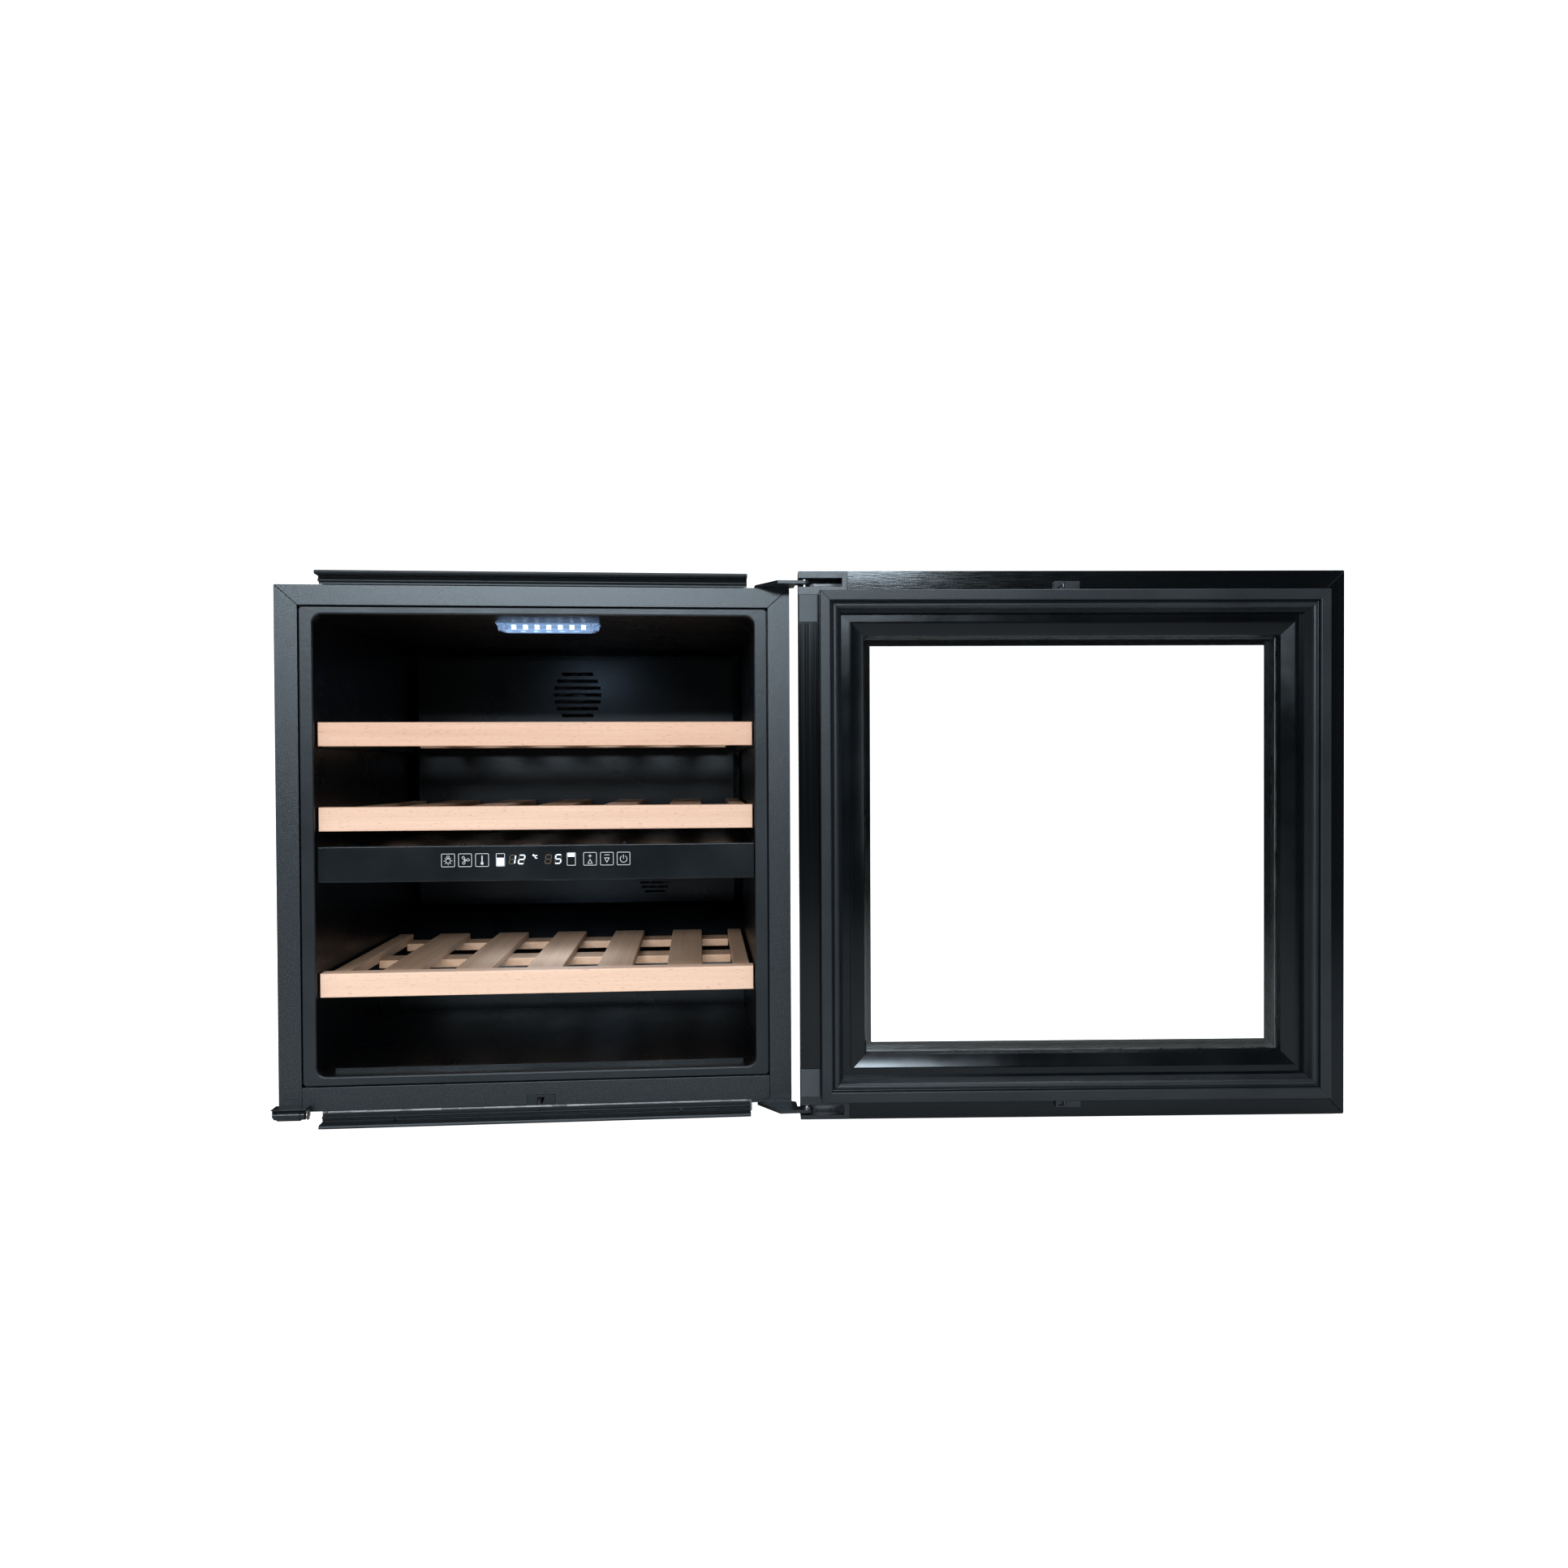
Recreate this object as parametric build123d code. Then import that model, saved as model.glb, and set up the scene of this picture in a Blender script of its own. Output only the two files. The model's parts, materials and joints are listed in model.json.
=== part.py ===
from build123d import *
import math
import os

# Built-in two-zone wine cooler, in millimetres. X points right and Z points up. Y points into the cabinet.
# Shapes are drawn with y = 0 on the face of the front frame, and moved at export so that the origin
# lies on the floor, midway between the four feet.

# ---- cabinet ----
FRAME_HALF_W = 276.0
FRAME_Z0, FRAME_Z1 = 20.0, 586.0
POST_W = 24.0
TOP_RAIL_H = 22.0
BOTTOM_RAIL_H = 26.0
SHEET = 1.5
CASE_HALF_W = 272.9
CASE_DEPTH = 518.0
FOOT_X = 200.0
FOOT_Y = (70.0, 450.0)
FOOT_MID_Y = sum(FOOT_Y) / 2
MITRE_GAP = 0.2

# ---- liner: the cold space ----
OPEN_HALF_W = 236.5
OPEN_Z0, OPEN_Z1 = 57.0, 554.5
BEZEL_HALF_W = 250.8
BEZEL_Z0, BEZEL_Z1 = 47.2, 562.8
CORNER_R = 10.0
LINER_WALL = 2.0
CEILING_Z = 558.0
BACK_Y = 452.0
STEP_Y, STEP_Z = 322.0, 190.0
ENGINE_Y0, ENGINE_Z1 = 344.0, 172.0

# ---- zones ----
DIVIDER_Z0, DIVIDER_Z1 = 268.0, 302.0
PANEL_Z0, PANEL_Z1 = 265.2, 304.4
PANEL_Y0, PANEL_Y1 = 8.0, 30.0
DUCT_Y = 400.0
LAMP_HALF_L, LAMP_Y0, LAMP_Y1, LAMP_H = 60.0, 86.0, 112.0, 9.0

# ---- shelves ----
FASCIA_H, FASCIA_T, FASCIA_Y = 26.0, 18.0, 8.0
FASCIA_HALF_W = 234.5
SHELVES = {"upper": (413.0, 392.0), "middle": (321.0, 392.0), "lower": (141.0, 314.0)}
SLAT_PITCH, SLAT_W, SLAT_T = 79.0, 40.0, 8.0

# ---- door, drawn closed and then swung open about the hinge pins ----
DOOR_HALF_W = 297.5
DOOR_Z0, DOOR_Z1 = 5.4, 599.4
GLASS_T = 4.0
DOOR_FRONT_Y, DOOR_BACK_Y = -42.0, -17.5
RAIL_W = 22.0
PIN_X, PIN_Y, PIN_R = 290.5, -24.0, 3.0
RUN_GAP = 0.05
OPEN_ANGLE = 176.5
CUP_X0 = 244.5
TOP_PLATE_Z, LOW_PLATE_Z, PLATE_T = 586.0, 12.6, 3.5

# ---- moving pieces ----
ROLLER_X, ROLLER_Y, ROLLER_Z, ROLLER_R, ROLLER_HALF_L = -261.0, -9.0, 20.0, 6.3, 16.4
LATCH_X, LATCH_Z = 1.5, 25.7
FANS = {"upper": (0.0, 496.0, 40.0), "lower": (110.0, 228.0, 26.0)}
COOLING_FAN = (120.0, 100.0, 48.0)


def block(x0, x1, y0, y1, z0, z1):
    """A box between two corners."""
    return Pos((x0 + x1) / 2, (y0 + y1) / 2, (z0 + z1) / 2) * Box(x1 - x0, y1 - y0, z1 - z0)


def rod(start, end, radius):
    """A round bar between two points."""
    run = Vector(*end) - Vector(*start)
    return Plane(origin=start, z_dir=run) * Cylinder(
        radius, run.length, align=(Align.CENTER, Align.CENTER, Align.MIN)
    )


def prism(points, direction, length):
    """A polygon drawn in space and pushed along a direction."""
    return extrude(make_face(Polyline(*points, close=True)), amount=length, dir=direction)


def prism_x(yz, x0, x1):
    return prism([(x0, y, z) for y, z in yz], (1, 0, 0), x1 - x0)


def prism_y(xz, y0, y1):
    return prism([(x, y0, z) for x, z in xz], (0, 1, 0), y1 - y0)


def prism_z(xy, z0, z1):
    return prism([(x, y, z0) for x, y in xy], (0, 0, 1), z1 - z0)


def edges_along(shape, axis, keep=lambda edge: True):
    """The straight edges of a shape that run along an axis and pass a test."""
    return [edge for edge in shape.edges().filter_by(axis) if keep(edge)]


def mirror_x(shape):
    return mirror(shape, about=Plane.YZ)


def save(name, *shapes):
    """Writes one node, moved so that the origin lies midway between the feet."""
    solids = [solid for shape in shapes for solid in shape.solids()]
    moved = [Pos(0, -FOOT_MID_Y, 0) * solid for solid in solids]
    export_step(moved[0] if len(moved) == 1 else Compound(children=moved), f"parts/{name}.step")


def save_door(name, *shapes):
    """Writes a node of the door, swung open about the hinge pins."""
    swing = Pos(PIN_X, PIN_Y, 0) * Rot(0, 0, OPEN_ANGLE) * Pos(-PIN_X, -PIN_Y, 0)
    save(name, *[swing * shape for shape in shapes])


# ---------------------------------------------------------------- cabinet shell


def make_case():
    side = block(CASE_HALF_W + 0.1, FRAME_HALF_W - SHEET - 0.1, SHEET + 0.2, CASE_DEPTH, FRAME_Z0, FRAME_Z1)
    save("side_panels", side, mirror_x(side))
    top = block(-CASE_HALF_W, CASE_HALF_W, SHEET + 0.2, CASE_DEPTH, FRAME_Z1 - SHEET, FRAME_Z1)
    save("top_panel", top)
    base = block(-CASE_HALF_W, CASE_HALF_W, SHEET + 0.2, CASE_DEPTH, FRAME_Z0, FRAME_Z0 + SHEET)
    skirt = block(-232, 232, 4, 4 + SHEET, 6, FRAME_Z0)
    save("base_pan", base + skirt)
    rear_y = CASE_DEPTH - SHEET
    rear = block(-CASE_HALF_W, CASE_HALF_W, rear_y, CASE_DEPTH, ENGINE_Z1, FRAME_Z1 - SHEET)
    save("rear_panel", rear)
    save("machine_cover", make_machine_cover(rear_y))
    feet = []
    for x in (-FOOT_X, FOOT_X):
        for y in FOOT_Y:
            foot = rod((x, y, 0), (x, y, 9), 16) + rod((x, y, 9), (x, y, FRAME_Z0), 8)
            feet.append(foot - rod((x, y, -1), (x, y, 12), 2.6))
    save("feet", *feet)


def make_machine_cover(rear_y):
    """Louvred steel sheet over the machine bay at the back."""
    cover = block(-CASE_HALF_W, CASE_HALF_W, rear_y, CASE_DEPTH, FRAME_Z0 + SHEET + 0.1, ENGINE_Z1 - 0.1)
    for row in range(9):
        z = 42 + row * 14
        for x0, x1 in ((-130, -20), (0, 110), (130, 240)):
            cover -= block(x0, x1, rear_y - 1, CASE_DEPTH + 1, z, z + 5)
    return cover - block(-236, -204, rear_y - 1, CASE_DEPTH + 1, 48, 72)


def cavity(grow, y0):
    """The stepped cold space as a solid, grown on every wall."""
    low, high, back = OPEN_Z0 - grow, CEILING_Z + grow, BACK_Y + grow
    step_y, step_z = STEP_Y + grow, STEP_Z - grow
    yz = [(y0, low), (step_y, low), (step_y, step_z), (back, step_z), (back, high), (y0, high)]
    return prism_x(yz, -OPEN_HALF_W - grow, OPEN_HALF_W + grow)


def make_liner():
    """Thermoformed tub with a rounded bezel round its mouth and a rib across its floor."""
    flange = block(-BEZEL_HALF_W, BEZEL_HALF_W, 0.5, 3.0, BEZEL_Z0, BEZEL_Z1)
    flange = fillet(edges_along(flange, Axis.Y), 4)
    flange = fillet(flange.faces().sort_by(Axis.Y)[0].edges(), 1.2)
    mouth = block(-OPEN_HALF_W, OPEN_HALF_W, 0, 14, OPEN_Z0, OPEN_Z1)
    mouth = fillet(edges_along(mouth, Axis.Y), CORNER_R)
    liner = flange + cavity(LINER_WALL, 1.0) - (cavity(0, 14) + mouth)
    front = [face for face in liner.faces() if face.center().Y < 0.6 and face.inner_wires()]
    liner = fillet(front[0].inner_wires()[0].edges(), 2)
    rib = fillet(edges_along(block(-226, 226, 20, 28, OPEN_Z0, OPEN_Z0 + 4), Axis.Z), 3.5)
    return liner + rib


def make_insulation():
    """Foam between the liner and the outer case, left open behind the latch and over the machine bay."""
    foam = block(-CASE_HALF_W + 0.3, CASE_HALF_W - 0.3, 12, CASE_DEPTH - SHEET - 0.2, 22, 584)
    foam -= cavity(LINER_WALL + 0.3, 11)
    foam -= block(LATCH_X - 10, LATCH_X + 10, 11, 19, LATCH_Z - 5, LATCH_Z + 5)
    return foam - block(-280, 280, ENGINE_Y0, CASE_DEPTH, 20, ENGINE_Z1)


def make_frame():
    """Folded steel strips round the mouth: posts mitred to the top rail, butted to the bottom rail."""
    outer, inner = FRAME_HALF_W, FRAME_HALF_W - POST_W
    top, under_top = FRAME_Z1, FRAME_Z1 - TOP_RAIL_H
    gap = MITRE_GAP
    face = prism_y([(inner, FRAME_Z0), (outer, FRAME_Z0), (outer, top - gap), (inner, under_top - gap)], 0, SHEET)
    outer_fold = block(outer - SHEET, outer, SHEET, 20, FRAME_Z0, top - 0.4)
    inner_fold = block(inner, inner + 1.2, SHEET, 9, 47, under_top - 1.2)
    right = face + outer_fold + inner_fold
    save("frame_post_right", right)
    save("frame_post_left", mirror_x(right))
    rail = prism_y(
        [(-outer + gap, top), (outer - gap, top), (inner - gap, under_top), (-inner + gap, under_top)], 0, SHEET
    )
    save("frame_rail_top", rail + block(-inner + 2, inner - 2, SHEET, 9, under_top, under_top + 1.2))
    low_top = FRAME_Z0 + BOTTOM_RAIL_H
    low = block(-inner + gap, inner - gap, 0, SHEET, FRAME_Z0, low_top)
    low += block(-inner + 2, inner - 2, SHEET, 9, low_top - 1.2, low_top)
    save("frame_rail_bottom", low - latch_window(0.01, -1, SHEET + 1))


def latch_window(grow, y0, y1):
    """The place of the latch's face plate, which reaches down to the edge of the rail."""
    x0, x1 = LATCH_X - 15 - grow, LATCH_X + 15 + grow
    return block(x0, x1, y0, y1, LATCH_Z - 5.7 - grow, LATCH_Z + 5.7 + grow)


# Section of the ridged trim, as (y, distance from the frame): web, rib, thin line and a deep rounded lip.
TRIM_SECTION = [
    (1, 0.3), (0.2, 0.3), (0.2, 2.4), (-3.4, 3.0), (-4.0, 4.0), (-3.6, 5.3), (-2.0, 5.9),
    (-2.0, 6.6), (-2.7, 7.0), (-2.0, 7.5), (-2.0, 8.3), (-6.0, 8.7), (-12.8, 8.7), (-14.8, 9.5),
    (-15.5, 11.0), (-14.8, 12.5), (-12.8, 13.3), (1, 13.3),
]


def make_trims():
    """Ridged strips that hide the gap between the cooler and its niche, above and below."""
    top = prism_x([(y, FRAME_Z1 + d) for y, d in TRIM_SECTION], -229, 229)
    top += block(-226, 226, 1, 16, FRAME_Z1 + 0.3, FRAME_Z1 + 1.8)
    low_edge = FRAME_Z0 - 1.8
    low = prism_x([(y, low_edge - d) for y, d in TRIM_SECTION], -230, 230)
    low += block(-226, 226, 1, 4, low_edge - 6, low_edge - 0.3)
    for x in (-153.5, 153.5):
        low -= rod((x, -12, 11.4), (x, 4, 11.4), 1.7)
    save("trim_strip_top", top)
    save("trim_strip_bottom", low)


# ---------------------------------------------------------------- hinges, roller, latch


def hinge_lobe(z0):
    """Flat lobe that carries a pin: slanted left edge, round nose, cut back clear of the door's edge."""
    xy = [(238, 3), (261, PIN_Y - 7), (PIN_X, PIN_Y - 7), (PIN_X, PIN_Y + 7), (281, PIN_Y + 7), (281, 0), (276, 3)]
    return prism_z(xy, z0, z0 + PLATE_T) + rod((PIN_X, PIN_Y, z0), (PIN_X, PIN_Y, z0 + PLATE_T), 7)


def make_hinges():
    top = hinge_lobe(TOP_PLATE_Z) + block(238, 272, 3, 62, TOP_PLATE_Z, TOP_PLATE_Z + PLATE_T)
    low = hinge_lobe(LOW_PLATE_Z) + block(246, 276, 0, PLATE_T, LOW_PLATE_Z, FRAME_Z0 - 0.2)
    low += block(231, 276, 0, PLATE_T, FRAME_Z0 - PLATE_T, FRAME_Z0 - 0.2)
    low += block(246, 272, PLATE_T, 62, FRAME_Z0 - PLATE_T, FRAME_Z0)
    screws = []
    for x, y in ((248, 22), (262, 22), (248, 50), (262, 50)):
        drill = rod((x, y, 0), (x, y, 600), 2)
        top -= drill
        screws.append(rod((x, y, TOP_PLATE_Z + PLATE_T), (x, y, TOP_PLATE_Z + 5), 4))
        screws.append(rod((x, y, FRAME_Z0 - PLATE_T - 2), (x, y, FRAME_Z0 - PLATE_T), 4))
    top_pin = rod((PIN_X, PIN_Y, 576.5), (PIN_X, PIN_Y, TOP_PLATE_Z + 4), PIN_R)
    top_pin += rod((PIN_X, PIN_Y, TOP_PLATE_Z + PLATE_T), (PIN_X, PIN_Y, TOP_PLATE_Z + 4.5), 5)
    low_pin = rod((PIN_X, PIN_Y, LOW_PLATE_Z - 1), (PIN_X, PIN_Y, 27.0), PIN_R)
    low_pin += rod((PIN_X, PIN_Y, LOW_PLATE_Z + PLATE_T), (PIN_X, PIN_Y, LOW_PLATE_Z + PLATE_T + 2), 5)
    bore = rod((PIN_X, PIN_Y, 0), (PIN_X, PIN_Y, 600), PIN_R + 0.03)
    save("hinge_bracket_top", top - bore)
    save("hinge_bracket_bottom", low - bore)
    save("hinge_pins", top_pin, low_pin)
    screws += [rod((x, 22, PANEL_Z1), (x, 22, PANEL_Z1 + 2.2), 3.2) for x in (-84, 4, 92)]
    save("screws", *screws)


def roller_rod(x0, x1, radius):
    return rod((x0, ROLLER_Y, ROLLER_Z), (x1, ROLLER_Y, ROLLER_Z), radius)


def make_roller():
    """Roller on the free side, which takes the door's weight as it closes."""
    x0, x1 = ROLLER_X - ROLLER_HALF_L, ROLLER_X + ROLLER_HALF_L
    ear = prism_x([(-11.6, 18.0), (-9, 16.6), (0, 20.5), (0, 27.5), (-11.6, 27.5)], 0, 1.2)
    bracket = Pos(x0 - 1.5, 0, 0) * ear + Pos(x1 + 0.3, 0, 0) * ear
    bracket += block(x0 - 1.5, x1 + 1.5, -15.5, 0, 26.6, 27.5)
    save("roller_bracket", bracket + roller_rod(x0 - 1.5, x1 + 1.5, 2))
    barrel = roller_rod(x0, x1, ROLLER_R - 1.2) + roller_rod(x0 + 3.5, x1 - 4.5, ROLLER_R)
    save("door_roller", barrel - roller_rod(x0 - 1, x1 + 1, 2 + RUN_GAP))


def make_latch():
    """Push latch: a flush plate with a slot, and the hook that slides in it."""
    plate = latch_window(-0.15, 0.1, 1.4) + block(LATCH_X - 9, LATCH_X + 9, 1.4, 11, LATCH_Z - 3.8, LATCH_Z + 3.8)
    low, high = LATCH_Z - 3.0, LATCH_Z + 3.0
    slot = prism_y([(LATCH_X - 5, low), (LATCH_X + 1.4, low), (LATCH_X + 3.4, high), (LATCH_X - 3.8, high)], -1, 12)
    save("latch_housing", plate - slot)
    x0, x1 = LATCH_X - 3.5, LATCH_X + 0.5
    hook = block(x0, x1, -8, 9, LATCH_Z - 2, LATCH_Z + 2)
    hook += prism_z([(x0, -8), (x0 + 1.5, -11), (x1, -11), (x1, -8)], LATCH_Z - 2, LATCH_Z + 2)
    save("latch_hook", hook)


# ---------------------------------------------------------------- zones, lamps, air


def make_zones():
    divider = block(-OPEN_HALF_W + 0.2, OPEN_HALF_W - 0.2, PANEL_Y1 + 0.5, DUCT_Y - 2, DIVIDER_Z0, DIVIDER_Z1)
    save("zone_divider", divider)
    panel = block(-OPEN_HALF_W + 0.5, OPEN_HALF_W - 0.5, PANEL_Y0, PANEL_Y1, PANEL_Z0, PANEL_Z1)
    panel = chamfer(edges_along(panel, Axis.X, lambda e: e.center().Y < PANEL_Y0 + 1), 0.8)
    panel -= block(-232, 232, PANEL_Y0 + 3, PANEL_Y1 + 1, PANEL_Z0 + 2, PANEL_Z1 - 2)
    save("control_panel", panel)
    board = block(-110, 110, 14, 15.6, 272, 298)
    board += block(-35, 30, 11.2, 14, 281, 293)
    save("display_board", board)


def make_lamps():
    covers, boards = [], []
    for z in (CEILING_Z, DIVIDER_Z0):
        cover = block(-LAMP_HALF_L, LAMP_HALF_L, LAMP_Y0, LAMP_Y1, z - LAMP_H, z)
        cover = fillet(edges_along(cover, Axis.X, lambda e: e.center().Z < z - 1), 4)
        low = LAMP_HALF_L - 7
        cover &= prism_y(
            [(-LAMP_HALF_L, z), (LAMP_HALF_L, z), (low, z - LAMP_H), (-low, z - LAMP_H)], LAMP_Y0, LAMP_Y1
        )
        cover -= block(-LAMP_HALF_L + 9, LAMP_HALF_L - 9, LAMP_Y0 + 1.5, LAMP_Y1 - 1.5, z - LAMP_H + 1.5, z + 1)
        covers.append(cover)
        boards.append(block(-48, 48, LAMP_Y0 + 5, LAMP_Y1 - 5, z - 1.6, z))
    save("lamp_covers", *covers)
    save("lamp_boards", *boards)


def duct_cover(z0, z1, fan):
    """Raised air cover on the back wall, with a ring of slots in front of its fan."""
    x, z, radius = fan
    cover = block(-226, 226, DUCT_Y, DUCT_Y + 20, z0, z1)
    cover = fillet(edges_along(cover, Axis.Y), 6)
    cover -= block(-224, 224, DUCT_Y + 2, DUCT_Y + 21, z0 + 2, z1 - 2)
    for row in range(-3, 4):
        half = math.sqrt(max(radius**2 - (row * radius / 4) ** 2, 0)) * 0.85
        level = z + row * radius / 4
        cover -= block(x - half, x + half, DUCT_Y - 1, DUCT_Y + 3, level - radius / 16, level + radius / 16)
    return cover


def fan_rotor(x, z, radius, y0, depth, bore):
    """Axial fan wheel: a hub with five slanted blades."""
    wheel = rod((x, y0, z), (x, y0 + depth, z), radius * 0.34)
    for turn in range(5):
        blade = Pos(radius * 0.6, 0, 0) * Rot(38, 0, 0) * Box(radius * 0.72, 1.4, radius * 0.42)
        wheel += Pos(x, y0 + depth / 2, z) * Rot(0, turn * 72, 0) * blade
    rim = rod((x, y0 - 9, z), (x, y0 + depth + 9, z), radius)
    return (wheel & rim) - rod((x, y0 - 10, z), (x, y0 + depth + 10, z), bore + RUN_GAP)


def make_air():
    save("duct_covers", duct_cover(308, 546, FANS["upper"]), duct_cover(193, 263, FANS["lower"]))
    motors = []
    for name, (x, z, radius) in FANS.items():
        save(f"fan_rotor_{name}", fan_rotor(x, z, radius - 3, 412, 10, 2.0))
        motor = rod((x, 432, z), (x, BACK_Y, z), radius * 0.4) + rod((x, 410, z), (x, 432, z), 2.0)
        motors.append(motor)
    save("fan_motors", *motors)
    coils = []
    for x0, x1, z0, z1 in ((-190, 190, 330, 430), (-190, 40, 200, 256)):
        coil = block(x0, x1, 424, 446, (z0 + z1) / 2 - 3, (z0 + z1) / 2 + 3)
        count = round((x1 - x0) / 20)
        for fin in range(count + 1):
            x = x0 + fin * (x1 - x0 - 1.2) / count
            coil += block(x, x + 1.2, 424, 446, z0, z1)
        coils.append(coil)
    save("evaporators", *coils)


# ---------------------------------------------------------------- shelves


def make_shelf(name, z, back):
    """Beech fascia, slats laid front to back with a bottle's width between them, and cross bars."""
    width = FASCIA_HALF_W
    fascia = block(-width, width, FASCIA_Y, FASCIA_Y + FASCIA_T, z, z + FASCIA_H)
    fascia = fillet(edges_along(fascia, Axis.X) + edges_along(fascia, Axis.Z), 1.2)
    save(f"shelf_{name}_fascia", fascia)
    y0, top = FASCIA_Y + FASCIA_T, z + 23
    slats = []
    for k in range(-2, 3):
        x = k * SLAT_PITCH
        slats.append(block(x - SLAT_W / 2, x + SLAT_W / 2, y0, back, top - SLAT_T, top))
    for side in (-1, 1):
        inner, outer = sorted((side * 214, side * 232))
        slats.append(block(inner, outer, y0, back, top - 12, top))
    for y in (y0, (y0 + back) / 2 - 18, back - 36):
        slats.append(block(-213.8, 213.8, y, y + 36, top - SLAT_T - 10, top - SLAT_T))
    save(f"shelf_{name}_slats", *slats)
    rail_top = top - 12.3
    rail = prism_y(
        [(224, rail_top), (224, rail_top - 3), (231, rail_top - 12), (OPEN_HALF_W, rail_top - 12), (OPEN_HALF_W, rail_top)],
        y0 + 4, back + 2,
    )
    return [rail, mirror_x(rail)]


# ---------------------------------------------------------------- machine bay


def make_machine_bay():
    pot = rod((-70, 430, 28), (-70, 430, 148), 56)
    pot = fillet(pot.edges().filter_by(GeomType.CIRCLE), 18)
    foot = block(-135, -5, 380, 480, FRAME_Z0 + SHEET, 27)
    box = block(-140, -122, 412, 448, 70, 115)
    save("compressor", pot + foot + rod((-70, 430, 26), (-70, 430, 60), 40) + box)
    x, z, radius = COOLING_FAN
    shroud = block(x - 58, x + 58, 425, 455, z - 56, z + 56) - rod((x, 420, z), (x, 460, z), radius)
    for angle in (45, 135):
        spoke = Pos(x, 452, z) * Rot(0, angle, 0) * Box(2 * radius + 4, 3, 5)
        shroud += spoke
    shroud += rod((x, 438, z), (x, 453.5, z), 2.0) + rod((x, 448, z), (x, 453.5, z), 18)
    shroud -= block(x - 80, x + 80, 460, 480, z - 80, z + 80)
    save("condenser_fan_shroud", shroud)
    save("fan_rotor_condenser", fan_rotor(x, z, radius - 3, 434, 9, 2.0))
    coil = block(x - 58, x + 58, 380, 420, z - 4, z + 4)
    for fin in range(20):
        x0 = x - 58 + fin * 114.8 / 19
        coil += block(x0, x0 + 1.2, 380, 420, z - 50, z + 50)
    save("condenser_coil", coil)
    pan = block(-200, -20, 366, 500, 153, 170) - block(-197, -23, 369, 497, 155, 171)
    save("drain_pan", pan)
    inlet = block(-234.5, -205.5, 498, CASE_DEPTH, 49.5, 70.5) - block(-232.5, -207.5, 501, CASE_DEPTH + 1, 51.5, 68.5)
    for dx, dz in ((-7, -2.5), (0, 3), (7, -2.5)):
        inlet += block(-220 + dx - 1, -220 + dx + 1, 500, 511, 60 + dz - 2, 60 + dz + 2)
    save("power_inlet", inlet)
    power = block(-262, -180, 360, 470, 80, 120)
    save("power_box", fillet(power.edges(), 3))
    save("refrigerant_pipes", *make_pipes())


def make_pipes():
    """Copper pipes from the compressor to the condenser, and back from the evaporators."""
    hot = FilletPolyline((-14, 430, 50), (20, 430, 50), (20, 400, 50), (20, 400, 140), (62, 400, 140), radius=9)
    cold = FilletPolyline((-14, 430, 90), (0, 430, 90), (0, 362, 90), (0, 362, 160), radius=6)
    pipes = []
    for route in (hot, cold):
        section = Plane(origin=route @ 0, z_dir=route % 0) * Circle(3)
        pipes.append(sweep(section, path=route))
    return pipes


# ---------------------------------------------------------------- door


def door_x(margin):
    return DOOR_HALF_W - margin


def mitred_ring(profile):
    """Four bars of one section, given as (distance in from the door's edge, y), mitred at the corners."""
    half, low, high = DOOR_HALF_W, DOOR_Z0, DOOR_Z1
    reach = 120.0
    side = prism_z([(half - m, y) for m, y in profile], low, high)
    side &= prism_y([(half, low), (half, high), (half - reach, high - reach), (half - reach, low + reach)], -60, 20)
    top = prism_x([(y, high - m) for m, y in profile], -half, half)
    top &= prism_y([(-half, high), (half, high), (half - reach, high - reach), (-half + reach, high - reach)], -60, 20)
    low_bar = prism_x([(y, low + m) for m, y in profile], -half, half)
    low_bar &= prism_y([(-half, low), (half, low), (half - reach, low + reach), (-half + reach, low + reach)], -60, 20)
    return [side, mirror_x(side), top, low_bar]


def ring_block(margin_out, margin_in, y0, y1):
    """A flat rectangular ring, set in from the door's edge."""
    ring = block(-door_x(margin_out), door_x(margin_out), y0, y1, DOOR_Z0 + margin_out, DOOR_Z1 - margin_out)
    return ring - block(
        -door_x(margin_in), door_x(margin_in), y0 - 1, y1 + 1, DOOR_Z0 + margin_in, DOOR_Z1 - margin_in
    )


def hinge_cup(z_edge, inward, slot_z0, slot_z1):
    """Corner block of the door: a slot for the bracket's lobe and a round seat for the pin's bush."""
    z0, z1 = sorted((z_edge, z_edge + inward * RAIL_W))
    cup = block(CUP_X0, DOOR_HALF_W, DOOR_FRONT_Y + GLASS_T, DOOR_BACK_Y, z0, z1)
    z2, z3 = sorted((z_edge + inward * RAIL_W, z_edge + inward * 25))
    cup += block(DOOR_HALF_W - RAIL_W, DOOR_HALF_W, DOOR_FRONT_Y + GLASS_T, DOOR_BACK_Y, z2, z3)
    cup -= block(250, 300, PIN_Y - 10, 0, slot_z0, slot_z1)
    return cup


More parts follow.
